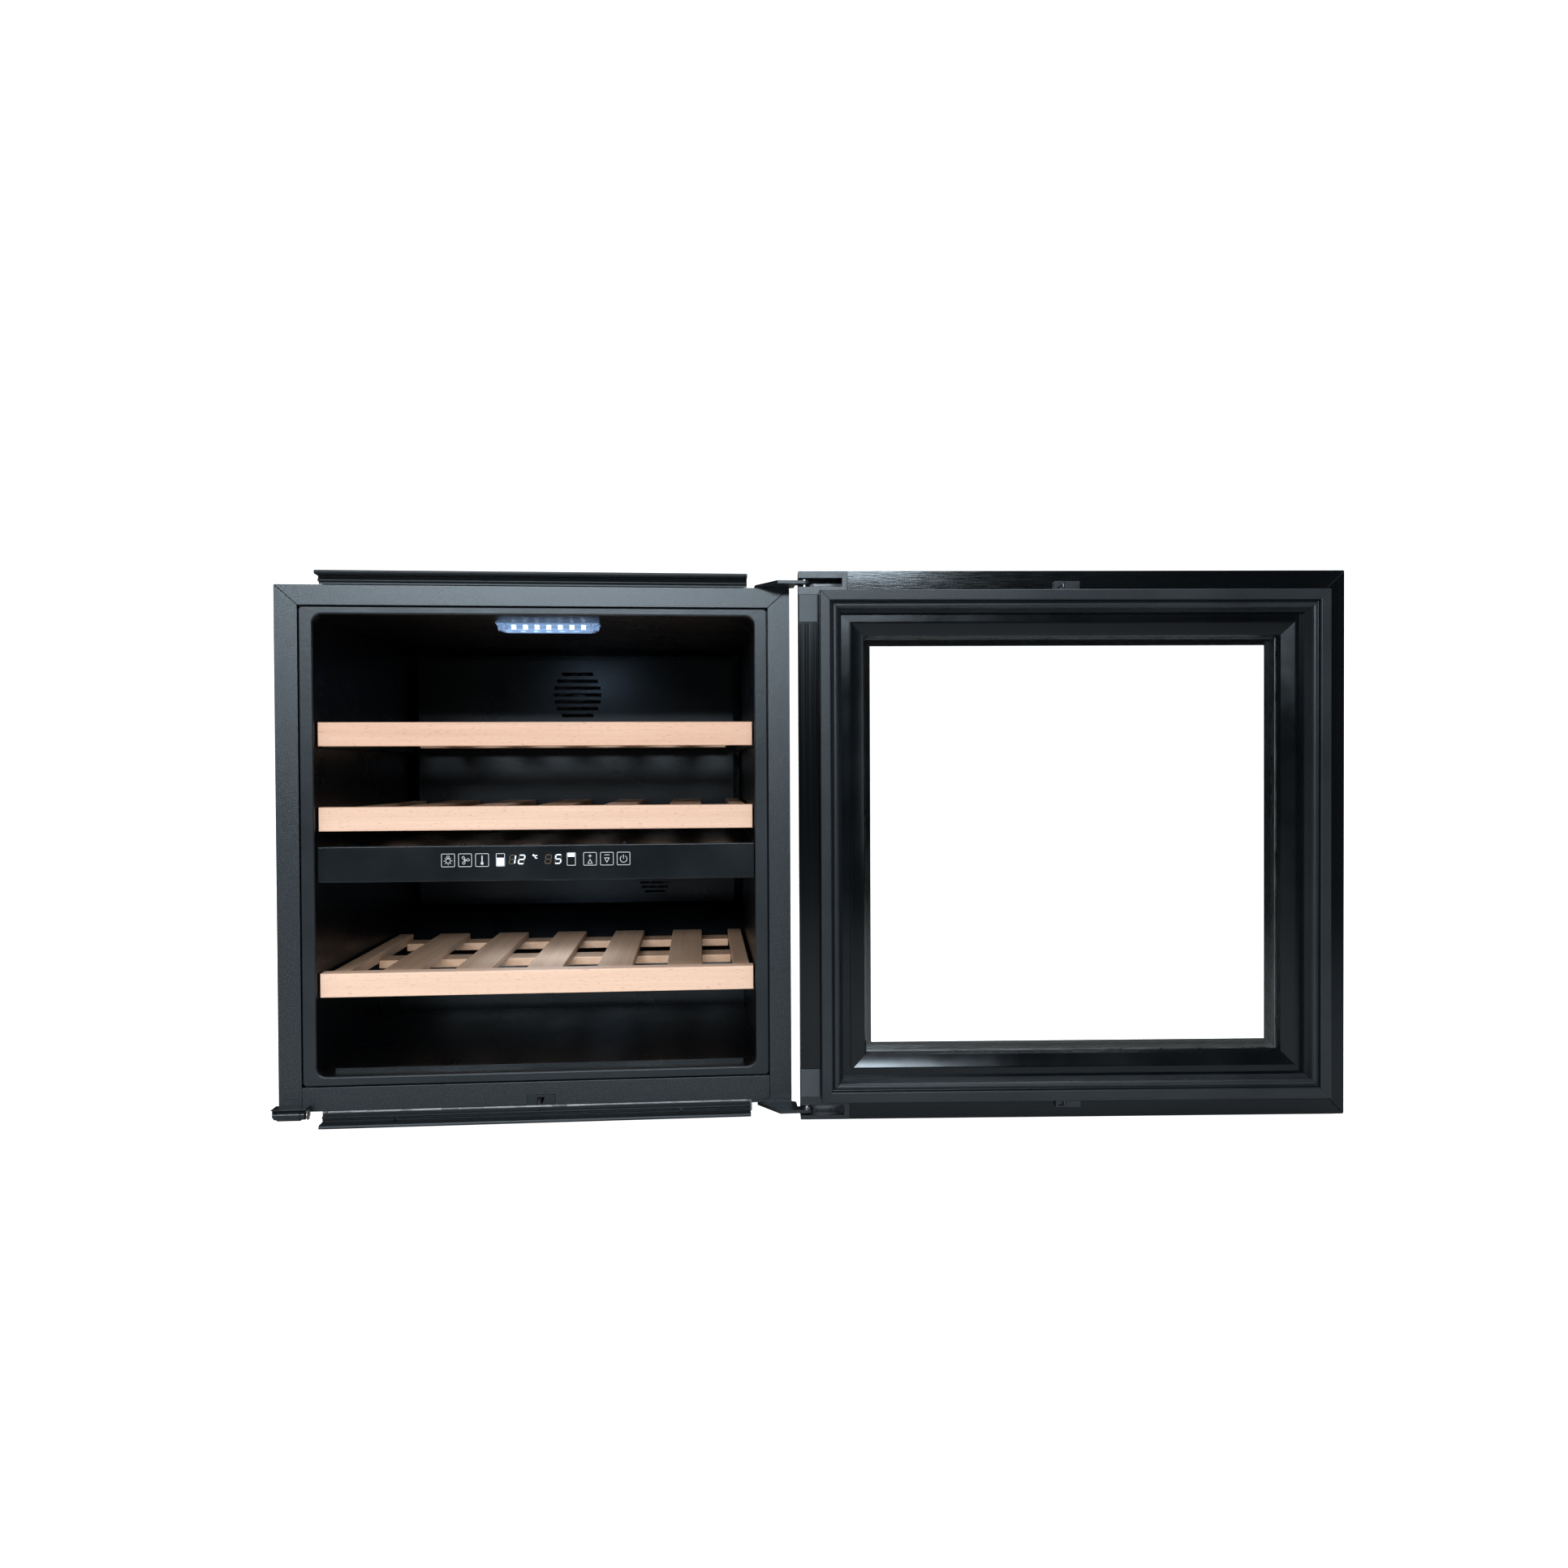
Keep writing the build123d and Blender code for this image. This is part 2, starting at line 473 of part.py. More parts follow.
def make_door():
    front, back = DOOR_FRONT_Y, DOOR_BACK_Y
    frame_y = front + GLASS_T
    pane = block(-DOOR_HALF_W, DOOR_HALF_W, front, frame_y, DOOR_Z0, DOOR_Z1)
    save_door("outer_glass", chamfer(edges_along(pane, Axis.X) + edges_along(pane, Axis.Z), 0.6))
    inner = block(-door_x(66), door_x(66), -26, -22, DOOR_Z0 + 66, DOOR_Z1 - 66)
    save_door("inner_glass", inner)
    save_door("glass_spacer", ring_block(66, 72.5, frame_y, -26))

    inner_x = DOOR_HALF_W - RAIL_W
    save_door("door_stile_hinge", block(inner_x, DOOR_HALF_W, frame_y, back, 60.6, 544.2))
    half, low, high, gap = DOOR_HALF_W, DOOR_Z0, DOOR_Z1, MITRE_GAP
    stile = [(-half, low + gap), (-inner_x, low + RAIL_W + gap), (-inner_x, high - RAIL_W - gap), (-half, high - gap)]
    save_door("door_stile_free", prism_y(stile, frame_y, back))
    for name, edge, inward in (("top", high, -RAIL_W), ("bottom", low, RAIL_W)):
        bar = [(-half + gap, edge), (CUP_X0, edge), (CUP_X0, edge + inward), (-inner_x + gap, edge + inward)]
        save_door(f"door_rail_{name}", prism_y(bar, frame_y, back))
    caps = []
    for z0, z1 in ((30.6, 60.4), (544.4, 574.2)):
        cap = block(inner_x, DOOR_HALF_W, frame_y, back + 1, z0, z1)
        caps.append(fillet(edges_along(cap, Axis.Z, lambda e: e.center().Y > back), 2))
    save_door("door_cap_blocks", *caps)

    top_cup = hinge_cup(DOOR_Z1, -1, 582.5, 592.0)
    low_cup = hinge_cup(DOOR_Z0, 1, 9.8, 21.0)
    top_bush = (575.6, 582.4)
    low_bush = (21.1, 28.4)
    bushes = []
    for low, high in (top_bush, low_bush):
        seat = rod((PIN_X, PIN_Y, low), (PIN_X, PIN_Y, high), 5)
        bushes.append(seat - rod((PIN_X, PIN_Y, low - 1), (PIN_X, PIN_Y, high + 1), PIN_R + RUN_GAP))
    top_cup -= rod((PIN_X, PIN_Y, top_bush[0]), (PIN_X, PIN_Y, 584), 5)
    low_cup -= rod((PIN_X, PIN_Y, 19), (PIN_X, PIN_Y, low_bush[1]), 5)
    save_door("hinge_cups", top_cup, low_cup)
    save_door("hinge_bushes", *bushes)

    section = [(22.2, frame_y), (22.2, -19), (55, -19), (55, -12.5), (58, -12.5), (70, -17.5), (72, -21.9),
               (72, -22), (65.8, -22), (65.8, frame_y)]
    save_door("door_inner_frame", *mitred_ring(section))
    seal = [(24, -19), (24, -12), (22.6, -6), (22.6, -1.3), (23.4, -0.5), (33, -0.8), (34, -1.6), (34, -6.5),
            (35.6, -7.2), (35.8, -4.6), (36.6, -3.4), (37.8, -2.7), (39.2, -2.6), (40.6, -3.1), (41.8, -4.3),
            (42.6, -6.2), (43.6, -9.4), (46, -13.2), (46, -19)]
    save_door("door_gasket", *mitred_ring(seal))
    save_door("door_strike_blocks", *make_strikes(back))


def make_strikes(back):
    """Blocks at mid width, top and bottom, that the latch meets: a solid half and a three-cornered notch."""
    blocks = []
    for z0, z1 in ((DOOR_Z0 + 12.2, DOOR_Z0 + 21.8), (DOOR_Z1 - 21.8, DOOR_Z1 - 12.2)):
        strike = block(-6.5, 20.5, back, back + 5, z0, z1)
        strike -= prism_y([(9.5, z0 + 1.5), (19, z0 + 1.5), (9.5, z1 - 1.5)], back + 1, back + 6)
        blocks.append(strike)
    return blocks


os.makedirs("parts", exist_ok=True)
make_case()
save("inner_liner", make_liner())
save("insulation_foam", make_insulation())
make_frame()
make_trims()
make_hinges()
make_roller()
make_latch()
make_zones()
make_lamps()
make_air()
runners = []
for shelf, (shelf_z, shelf_back) in SHELVES.items():
    runners += make_shelf(shelf, shelf_z, shelf_back)
save("shelf_runners", *runners)
make_machine_bay()
make_door()
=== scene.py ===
# %% [markdown]
# # A built-in wine cooler with its glass door open
# The solid parts of this cooler were designed elsewhere, to the millimetre, and come in here as a fixed
# frame. Blender's work is what the eye needs on top of that: eased edges, moulded and pressed detail, and
# finishes that behave like powder coat, beech, rubber, glass and zinc. Everything is in metres. The front
# frame faces -Y, Z is up, and the origin is on the floor between the four feet.

# %% Load the frame
import math
import random

import bmesh
import bpy
from mathutils import Matrix, Vector
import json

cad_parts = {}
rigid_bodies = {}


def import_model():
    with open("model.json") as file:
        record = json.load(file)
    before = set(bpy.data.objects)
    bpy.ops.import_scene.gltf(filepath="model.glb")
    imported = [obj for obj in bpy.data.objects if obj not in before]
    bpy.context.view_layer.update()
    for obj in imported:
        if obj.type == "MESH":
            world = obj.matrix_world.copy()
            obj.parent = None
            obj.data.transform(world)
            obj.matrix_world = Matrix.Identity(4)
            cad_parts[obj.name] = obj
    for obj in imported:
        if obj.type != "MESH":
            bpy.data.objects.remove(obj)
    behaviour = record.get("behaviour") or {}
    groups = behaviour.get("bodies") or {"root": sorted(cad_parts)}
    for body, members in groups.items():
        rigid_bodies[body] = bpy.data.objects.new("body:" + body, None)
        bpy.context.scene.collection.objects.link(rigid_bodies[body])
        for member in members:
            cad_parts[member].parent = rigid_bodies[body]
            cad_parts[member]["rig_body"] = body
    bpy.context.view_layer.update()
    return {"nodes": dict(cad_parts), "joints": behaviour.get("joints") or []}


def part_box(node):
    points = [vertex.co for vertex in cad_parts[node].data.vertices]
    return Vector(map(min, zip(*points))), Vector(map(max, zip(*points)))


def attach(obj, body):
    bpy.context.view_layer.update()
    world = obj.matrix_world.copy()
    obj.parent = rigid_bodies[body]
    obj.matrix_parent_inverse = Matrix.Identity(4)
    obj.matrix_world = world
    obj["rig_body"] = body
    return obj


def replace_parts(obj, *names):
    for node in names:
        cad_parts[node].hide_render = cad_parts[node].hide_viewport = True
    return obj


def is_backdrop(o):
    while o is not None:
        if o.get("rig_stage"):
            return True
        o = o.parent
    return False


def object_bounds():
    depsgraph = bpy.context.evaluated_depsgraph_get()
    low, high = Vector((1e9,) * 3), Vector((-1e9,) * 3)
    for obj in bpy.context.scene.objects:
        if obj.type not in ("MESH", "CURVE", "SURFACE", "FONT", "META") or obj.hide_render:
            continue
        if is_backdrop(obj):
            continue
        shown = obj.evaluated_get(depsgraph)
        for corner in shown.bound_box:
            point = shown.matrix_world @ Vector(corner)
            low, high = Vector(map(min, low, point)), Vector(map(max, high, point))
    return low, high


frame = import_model()
nodes = frame["nodes"]
random.seed(7)

# %% [markdown]
# ## Drawing measurements
# A maker's drawing measures depth from the face of the front frame, in millimetres. One small function
# turns such a measurement into a point in metres. A second one does the same for the door, which is drawn
# shut and stands open here, so its points are swung about the hinge pins.

# %% Points on the cabinet and on the door
MM = 0.001
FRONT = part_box("frame_rail_top")[0].y
hinge = next(joint for joint in frame["joints"] if joint["name"] == "door_hinge")
PIN = Vector((hinge["pos_m"][0], hinge["pos_m"][1], 0))
OPENED_BY = math.radians(-hinge["range_deg"][0])
DOOR_SWING = Matrix.Translation(PIN) @ Matrix.Rotation(OPENED_BY, 4, "Z") @ Matrix.Translation(-PIN)


def on_cabinet(x, y, z):
    return Vector((x * MM, FRONT + y * MM, z * MM))


def on_door(x, y, z):
    return DOOR_SWING @ on_cabinet(x, y, z)


print("front frame face at y =", round(FRONT, 4), "hinge pins at x =", round(PIN.x, 4))

# %% [markdown]
# ## Finishes
# Each finish is one Principled shader. Plain numbers sit on the shader's own sockets. Whatever changes over
# the surface, such as grain, speckle and orange peel, comes from noise that is measured in metres, so it
# has its real size on every piece.

# %% Building blocks for finishes
def finish(name, colour, roughness, metallic=0.0, **plain):
    material = bpy.data.materials.new(name)
    material.use_nodes = True
    shader = material.node_tree.nodes["Principled BSDF"]
    shader.inputs["Base Color"].default_value = (*colour, 1)
    shader.inputs["Roughness"].default_value = roughness
    shader.inputs["Metallic"].default_value = metallic
    for socket, value in plain.items():
        shader.inputs[socket.replace("_", " ")].default_value = value
    return material


def add_node(material, kind, **settings):
    made = material.node_tree.nodes.new(kind)
    for key, value in settings.items():
        if hasattr(made, key):
            setattr(made, key, value)
        else:
            made.inputs[key.replace("_", " ")].default_value = value
    return made


def wire(material, source, target):
    material.node_tree.links.new(source, target)


def grain(material, per_metre, detail=3, kind="ShaderNodeTexNoise", output="Fac"):
    """Noise with so many grains to the metre along x, y and z. A single number is the same all ways."""
    if not hasattr(per_metre, "__len__"):
        per_metre = (per_metre,) * 3
    place = add_node(material, "ShaderNodeTexCoord")
    stretch = add_node(material, "ShaderNodeMapping", Scale=per_metre)
    noise = add_node(material, kind, Scale=1.0)
    if kind == "ShaderNodeTexNoise":
        noise.inputs["Detail"].default_value = detail
    wire(material, place.outputs["Object"], stretch.inputs["Vector"])
    wire(material, stretch.outputs["Vector"], noise.inputs["Vector"])
    return noise.outputs[output]


def between(material, source, low, high, from_low=0.3, from_high=0.7):
    """Spreads a pattern over a range of values."""
    made = add_node(material, "ShaderNodeMapRange")
    for key, value in zip(("From Min", "From Max", "To Min", "To Max"), (from_low, from_high, low, high)):
        made.inputs[key].default_value = value
    wire(material, source, made.inputs["Value"])
    return made.outputs["Result"]


def shades(material, source, *stops):
    """Turns a pattern into colours. A stop is (where, colour)."""
    ramp = add_node(material, "ShaderNodeValToRGB")
    elements = ramp.color_ramp.elements
    while len(elements) < len(stops):
        elements.new(0.5)
    for element, (where, colour) in zip(elements, stops):
        element.position, element.color = where, (*colour, 1)
    wire(material, source, ramp.inputs["Fac"])
    return ramp.outputs["Color"]


def blended(material, share, first, second, how="MIX"):
    """Two colours mixed. The share is a pattern or a number."""
    mix = add_node(material, "ShaderNodeMix", data_type="RGBA", blend_type=how)
    sockets = ((share, mix.inputs["Factor"]), (first, mix.inputs["A"]), (second, mix.inputs["B"]))
    for source, target in sockets:
        if isinstance(source, (int, float)):
            target.default_value = source
        elif isinstance(source, tuple):
            target.default_value = (*source, 1)
        else:
            wire(material, source, target)
    return mix.outputs["Result"]


def set_from(material, socket, source):
    wire(material, source, material.node_tree.nodes["Principled BSDF"].inputs[socket])


def relief(material, *layers):
    """Fine relief from patterns. A layer is (pattern, depth in metres, strength)."""
    last = None
    for pattern, depth, strength in layers:
        bump = add_node(material, "ShaderNodeBump", Distance=depth, Strength=strength)
        wire(material, pattern, bump.inputs["Height"])
        if last:
            wire(material, last, bump.inputs["Normal"])
        last = bump.outputs["Normal"]
    set_from(material, "Normal", last)


print("finish helpers ready")

# %% [markdown]
# ### Powder coat
# The front frame is folded steel under a textured powder coat. The paint dries in tiny beads, which catch
# the light one by one, so it looks salted from close by and grey from afar. Two sizes of noise give the
# beads, and the same noise paints a highlight into the colour of their tops and bright glints on the peaks.

# %% Powder coat and smooth paint
COOL_SHEEN = (0.8, 0.91, 1.0, 1)


def powder_coat(name, colour, bead_glint):
    paint = finish(name, colour, 0.42, Specular_IOR_Level=0.8, Specular_Tint=COOL_SHEEN)
    beads = grain(paint, 900, 2)
    pits = grain(paint, 2000, 1)
    # Painted highlight: the bead tops are lighter in colour, and the peaks take the bright glint colour.
    paler = [c * 1.5 for c in colour]
    set_from(paint, "Base Color", shades(paint, beads, (0.36, colour), (0.55, paler), (0.68, bead_glint)))
    set_from(paint, "Roughness", between(paint, pits, 0.27, 0.42))
    relief(paint, (beads, 0.0003, 0.5), (pits, 0.00015, 0.4))
    return paint


def smooth_paint(name, colour, roughness):
    paint = finish(name, colour, roughness, Specular_Tint=COOL_SHEEN)
    peel = grain(paint, 260, 2)
    dust = grain(paint, 9, 5)
    dusty = [c * 1.35 + 0.002 for c in colour]
    set_from(paint, "Base Color", shades(paint, dust, (0.3, colour), (0.75, dusty)))
    set_from(paint, "Roughness", between(paint, dust, roughness - 0.05, roughness + 0.08))
    relief(paint, (peel, 0.0004, 0.25))
    return paint


# The last colour of each coat is the painted glint on its bead peaks.
FRAME_PAINT = powder_coat("powder_coat_black", (0.0028, 0.0042, 0.0054), (0.04, 0.046, 0.052))
BRACKET_PAINT = powder_coat("bracket_coat_black", (0.004, 0.0055, 0.007), (0.02, 0.022, 0.024))
CASE_PAINT = smooth_paint("case_paint_black", (0.008, 0.0095, 0.011), 0.4)

# %% [markdown]
# ### Moulded plastics and rubber
# Thermoformed liner, glossy door frame, satin trims and the soft gasket are all black, and the light tells
# them apart. Extruded strips carry faint lines along their length, thermoformed sheet has a slow orange
# peel, and rubber is dusty.

# %% Plastics and rubber
def moulded(name, colour, roughness, peel_depth=0.0003, peel=180, sheen=COOL_SHEEN):
    plastic = finish(name, colour, roughness, Specular_Tint=sheen)
    slow = grain(plastic, 14, 4)
    skin = grain(plastic, peel, 2)
    paler = [c * 1.25 + 0.001 for c in colour]
    set_from(plastic, "Base Color", shades(plastic, slow, (0.3, colour), (0.72, paler)))
    set_from(plastic, "Roughness", between(plastic, slow, roughness - 0.04, roughness + 0.05))
    relief(plastic, (skin, peel_depth, 0.3))
    return plastic


def extruded(name, colour, roughness, along):
    """Plastic or rubber pushed through a die, with draw lines along one axis."""
    plastic = finish(name, colour, roughness, Specular_Tint=COOL_SHEEN)
    lines = grain(plastic, [3 if axis == along else 900 for axis in "xyz"], 2)
    clouds = grain(plastic, [1.5 if axis == along else 60 for axis in "xyz"], 3)
    paler = [c * 1.4 + 0.001 for c in colour]
    set_from(plastic, "Base Color", shades(plastic, clouds, (0.3, colour), (0.7, paler)))
    set_from(plastic, "Roughness", between(plastic, lines, roughness - 0.04, roughness + 0.05))
    relief(plastic, (lines, 0.00012, 0.3))
    return plastic


LINER = moulded("liner_black", (0.0014, 0.0018, 0.0026), 0.3)
BEZEL = moulded("bezel_satin_black", (0.0075, 0.0098, 0.012), 0.34)
TRIM = extruded("trim_satin_black", (0.005, 0.0065, 0.008), 0.3, "x")
DOOR_RAIL = extruded("door_gloss_black_across", (0.0012, 0.0017, 0.0022), 0.13, "x")
DOOR_STILE = extruded("door_gloss_black_upright", (0.001, 0.0014, 0.0018), 0.13, "z")
INNER_FRAME = moulded("inner_frame_black", (0.0014, 0.0019, 0.0024), 0.16, 0.0002, 60)
GASKET = moulded("gasket_rubber", (0.0085, 0.0105, 0.0125), 0.36, 0.0003, 500)
CUP = moulded("hinge_cup_black", (0.013, 0.0155, 0.018), 0.3)
CAP = moulded("cap_grey", (0.032, 0.039, 0.045), 0.45, 0.0003, 700)
PANEL = moulded("control_panel_black", (0.004, 0.0058, 0.0072), 0.2, 0.00006, 60)
RUNNER = moulded("runner_black", (0.01, 0.011, 0.013), 0.45)
LATCH_BLACK = moulded("latch_satin_black", (0.0075, 0.0098, 0.012), 0.34)
FOOT_RUBBER = moulded("foot_rubber", (0.018, 0.018, 0.019), 0.7, 0.0004, 900)
ROLLER_PLASTIC = moulded("roller_black", (0.008, 0.009, 0.0105), 0.24)
FAN_PLASTIC = moulded("fan_black", (0.013, 0.014, 0.015), 0.4)
NYLON = moulded("bush_nylon", (0.62, 0.6, 0.55), 0.4)
TRAY = moulded("tray_plastic", (0.05, 0.052, 0.055), 0.4)

# %% [markdown]
# ### Metals
# Galvanised steel freezes into flat crystals of zinc, each with its own shine, which is what a Voronoi
# pattern is. Aluminium and copper have rolling or drawing lines, and small screws are dull zinc.

# %% Metals
def galvanised(name):
    zinc = finish(name, (0.52, 0.54, 0.56), 0.42, 1.0)
    crystals = grain(zinc, 70, kind="ShaderNodeTexVoronoi", output="Color")
    split = add_node(zinc, "ShaderNodeSeparateColor")
    wire(zinc, crystals, split.inputs["Color"])
    haze = grain(zinc, 30, 4)
    tone = shades(zinc, split.outputs["Red"], (0.0, (0.36, 0.38, 0.4)), (1.0, (0.62, 0.64, 0.65)))
    set_from(zinc, "Base Color", blended(zinc, between(zinc, haze, 0.0, 0.45), tone, (0.5, 0.5, 0.49)))
    set_from(zinc, "Roughness", between(zinc, split.outputs["Green"], 0.3, 0.52, 0, 1))
    relief(zinc, (haze, 0.0003, 0.2))
    return zinc


def drawn_metal(name, colour, roughness, stretch, depth=0.0001):
    metal = finish(name, colour, roughness, 1.0)
    lines = grain(metal, stretch, 3)
    stain = grain(metal, 24, 4)
    set_from(metal, "Base Color", shades(metal, stain, (0.25, [c * 0.72 for c in colour]), (0.7, colour)))
    set_from(metal, "Roughness", between(metal, lines, roughness - 0.08, roughness + 0.12))
    relief(metal, (lines, depth, 0.3))
    return metal


ZINC_SHEET = galvanised("galvanised_sheet")
SCREW_ZINC = drawn_metal("screw_zinc", (0.5, 0.5, 0.49), 0.35, 800)
PIN_STEEL = drawn_metal("pin_steel", (0.42, 0.43, 0.44), 0.25, (900, 900, 60))
ALUMINIUM = drawn_metal("aluminium_fins", (0.75, 0.76, 0.77), 0.3, (40, 900, 900))
SPACER = drawn_metal("spacer_aluminium", (0.34, 0.36, 0.38), 0.32, (60, 900, 60))
CUP_STEEL = drawn_metal("cup_insert_steel", (0.13, 0.14, 0.15), 0.34, (30, 900, 900))
COPPER = drawn_metal("copper_pipe", (0.72, 0.36, 0.2), 0.28, 400)
ENAMEL = smooth_paint("compressor_enamel", (0.01, 0.01, 0.011), 0.3)

# %% [markdown]
# ### Beech
# Shelf fronts and slats are steamed beech: pale pink-brown, nearly plain, with short dark flecks along the
# grain and slow bands of growth. All three are noise stretched along the grain. Each front has a tone of
# its own, darkest and reddest on the upper shelf and palest on the lower one.

# %% Beech
def beech(name, along, light, dark):
    def stretched(long, across):
        return [long if axis == along else across for axis in "xyz"]

    wood = finish(name, light, 0.5)
    bands = grain(wood, stretched(2.2, 75), 4)
    streaks = grain(wood, stretched(9, 480), 3)
    flecks = grain(wood, stretched(150, 900), 1)
    body = shades(wood, bands, (0.3, dark), (0.62, light))
    streaked = blended(wood, between(wood, streaks, 0.0, 0.3), body, tuple(c * 0.8 for c in dark))
    fleck_share = between(wood, flecks, 0.0, 0.55, 0.62, 0.76)
    fleck_tone = tuple(c * k for c, k in zip(dark, (0.62, 0.5, 0.42)))
    set_from(wood, "Base Color", blended(wood, fleck_share, streaked, fleck_tone))
    set_from(wood, "Roughness", between(wood, streaks, 0.42, 0.58))
    relief(wood, (streaks, 0.0003, 0.25), (flecks, 0.0002, 0.35))
    return wood


FRONT_LIGHT, FRONT_DARK = (0.69, 0.485, 0.365), (0.615, 0.41, 0.3)
FRONT_BEECH = {}
for level, tone in (("upper", (0.84, 0.76, 0.72)), ("middle", (0.92, 0.9, 0.9)), ("lower", (1.0, 1.0, 1.0))):
    light, dark = ([c * t for c, t in zip(colour, tone)] for colour in (FRONT_LIGHT, FRONT_DARK))
    FRONT_BEECH[level] = beech(f"beech_front_{level}", "x", light, dark)
SLAT_BEECH = beech("beech_slat", "y", (0.64, 0.41, 0.27), (0.54, 0.33, 0.205))

# %% [markdown]
# ### Glass, print and light
# A pane is seen by what it mirrors, so it is a Transparent shader with a Glossy one over it in the share
# that Fresnel gives. Light then passes straight through to the shelves. Fresnel turns its index round on a
# back face, which would black out the pane from the side, so the index is turned back there. The black
# print round the edge of the outer pane hides the frame behind it. Lit symbols and lamps give off their own
# light.

# %% Glass and light
GLASS_INDEX = 1.5


def pane_glass(name, tint, clarity):
    glass = finish(name, tint, 0.02)
    tree = glass.node_tree
    tree.nodes.remove(tree.nodes["Principled BSDF"])
    clear = add_node(glass, "ShaderNodeBsdfTransparent", Color=(*tint, 1))
    mirror = add_node(glass, "ShaderNodeBsdfGlossy", Roughness=clarity, Color=(0.95, 0.97, 0.98, 1))
    edge = add_node(glass, "ShaderNodeFresnel")
    side = add_node(glass, "ShaderNodeNewGeometry")
    index = between(glass, side.outputs["Backfacing"], GLASS_INDEX, 1 / GLASS_INDEX, 0, 1)
    wire(glass, index, edge.inputs["IOR"])
    mix = add_node(glass, "ShaderNodeMixShader")
    wire(glass, edge.outputs["Fac"], mix.inputs["Fac"])
    wire(glass, clear.outputs[0], mix.inputs[1])
    wire(glass, mirror.outputs[0], mix.inputs[2])
    wire(glass, mix.outputs[0], tree.nodes["Material Output"].inputs["Surface"])
    return glass


def lit(name, colour, strength):
    return finish(name, [c * 0.5 for c in colour], 0.3,
                  Emission_Color=(*colour, 1), Emission_Strength=strength)


PANE = pane_glass("pane_glass", (0.992, 0.997, 0.995), 0.01)
LAMP_ACRYLIC = finish("lamp_clear_acrylic", (0.8, 0.9, 1.0), 0.12, Transmission_Weight=0.9, IOR=1.49,
                      Emission_Color=(0.4, 0.62, 1.0, 1), Emission_Strength=0.1)
# Black print on the glass. The spacer's hole discs wear it too, as painted shade.
PRINT_AND_HOLE_SHADE = moulded("glass_print_and_hole_shade_black", (0.0035, 0.004, 0.0045), 0.06, 0.00005, 40)
LED = lit("led_cold_white", (0.72, 0.86, 1.0), 5)
LAMP_BOARD = lit("lamp_board_white", (0.42, 0.66, 1.0), 0.26)
DIGIT_LIT = lit("digit_lit_white", (0.8, 0.9, 1.0), 1.1)
SYMBOL = lit("symbol_white", (0.62, 0.66, 0.7), 0.55)
# Unlit digit bars: dim brown, with a faint glow painted on though nothing lights them.
DIGIT_DIM_GLOW = lit("digit_unlit_painted_glow", (0.1, 0.07, 0.045), 0.55)
CIRCUIT = smooth_paint("circuit_green", (0.02, 0.12, 0.05), 0.35)
FOAM = moulded("foam_yellow", (0.62, 0.52, 0.28), 0.8, 0.001, 300)
print(len(bpy.data.materials), "finishes")

# %% [markdown]
# ## Easing the drawn parts
# A drawn solid has perfectly sharp edges, and no real part has. For each part the drawn mesh is copied, its
# doubled corners are welded, flat neighbours are merged into single faces, and the sharp edges that remain
# are rounded with a bevel as wide as the real radius: about a millimetre on moulded plastic, less on folded
# steel. The copy rides where the drawn part does and stands for it.

# %% Making pieces
SHARP_ANGLE = math.radians(28)
pieces_made = []


def smooth_faces(mesh, angle=35):
    mesh.polygons.foreach_set("use_smooth", [True] * len(mesh.polygons))
    mesh.set_sharp_from_angle(angle=math.radians(angle))


def add_piece(name, bm, material, body, angle=35):
    """Turns a bmesh into a piece that rides on a body and wears a finish."""
    mesh = bpy.data.meshes.new(name)
    bm.to_mesh(mesh)
    bm.free()
    for one in material if isinstance(material, (list, tuple)) else [material]:
        mesh.materials.append(one)
    smooth_faces(mesh, angle)
    made = bpy.data.objects.new(name, mesh)
    bpy.context.scene.collection.objects.link(made)
    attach(made, body)
    pieces_made.append(made)
    return made


def drawn_solid(node, part=0, parts=1):
    """A welded copy of a drawn part, with its flat faces whole, or of one of the like bars in it."""
    bm = bmesh.new()
    bm.from_mesh(nodes[node].data)
    share = len(bm.faces) // parts
    others = [face for place, face in enumerate(bm.faces) if place // share != part]
    bmesh.ops.delete(bm, geom=others, context="FACES")
    bmesh.ops.remove_doubles(bm, verts=bm.verts, dist=2e-6)
    bmesh.ops.dissolve_limit(bm, angle_limit=math.radians(0.6), verts=bm.verts, edges=bm.edges)
    return bm


def round_edges(bm, radius, segments=2):
    """Rounds the sharp edges. The radius is in millimetres."""
    sharp = [e for e in bm.edges if len(e.link_faces) == 2 and e.calc_face_angle(0) > SHARP_ANGLE]
    bmesh.ops.bevel(bm, geom=sharp, offset=radius * MM, offset_type="OFFSET", segments=segments, profile=0.5,
                    affect="EDGES", clamp_overlap=True)


def eased(name, node, material, radius, segments=2, parts=1):
    """A drawn part with rounded edges, in place of the drawn one."""
    bm = bmesh.new()
    for part in range(parts):
        one = drawn_solid(node, part, parts)
        if radius:
            round_edges(one, radius, segments)
        passing = bpy.data.meshes.new("passing")
        one.to_mesh(passing)
        one.free()
        bm.from_mesh(passing)
        bpy.data.meshes.remove(passing)
    made = add_piece(name, bm, material, nodes[node]["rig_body"])
    weighted = made.modifiers.new("even_shading", "WEIGHTED_NORMAL")
    weighted.keep_sharp = True
    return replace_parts(made, node)


# %% [markdown]
# ## The shell, the front frame and the trims
# Folded sheet has an outside radius near its own thickness. The ridged trims are extruded plastic, with
# rounder ribs.

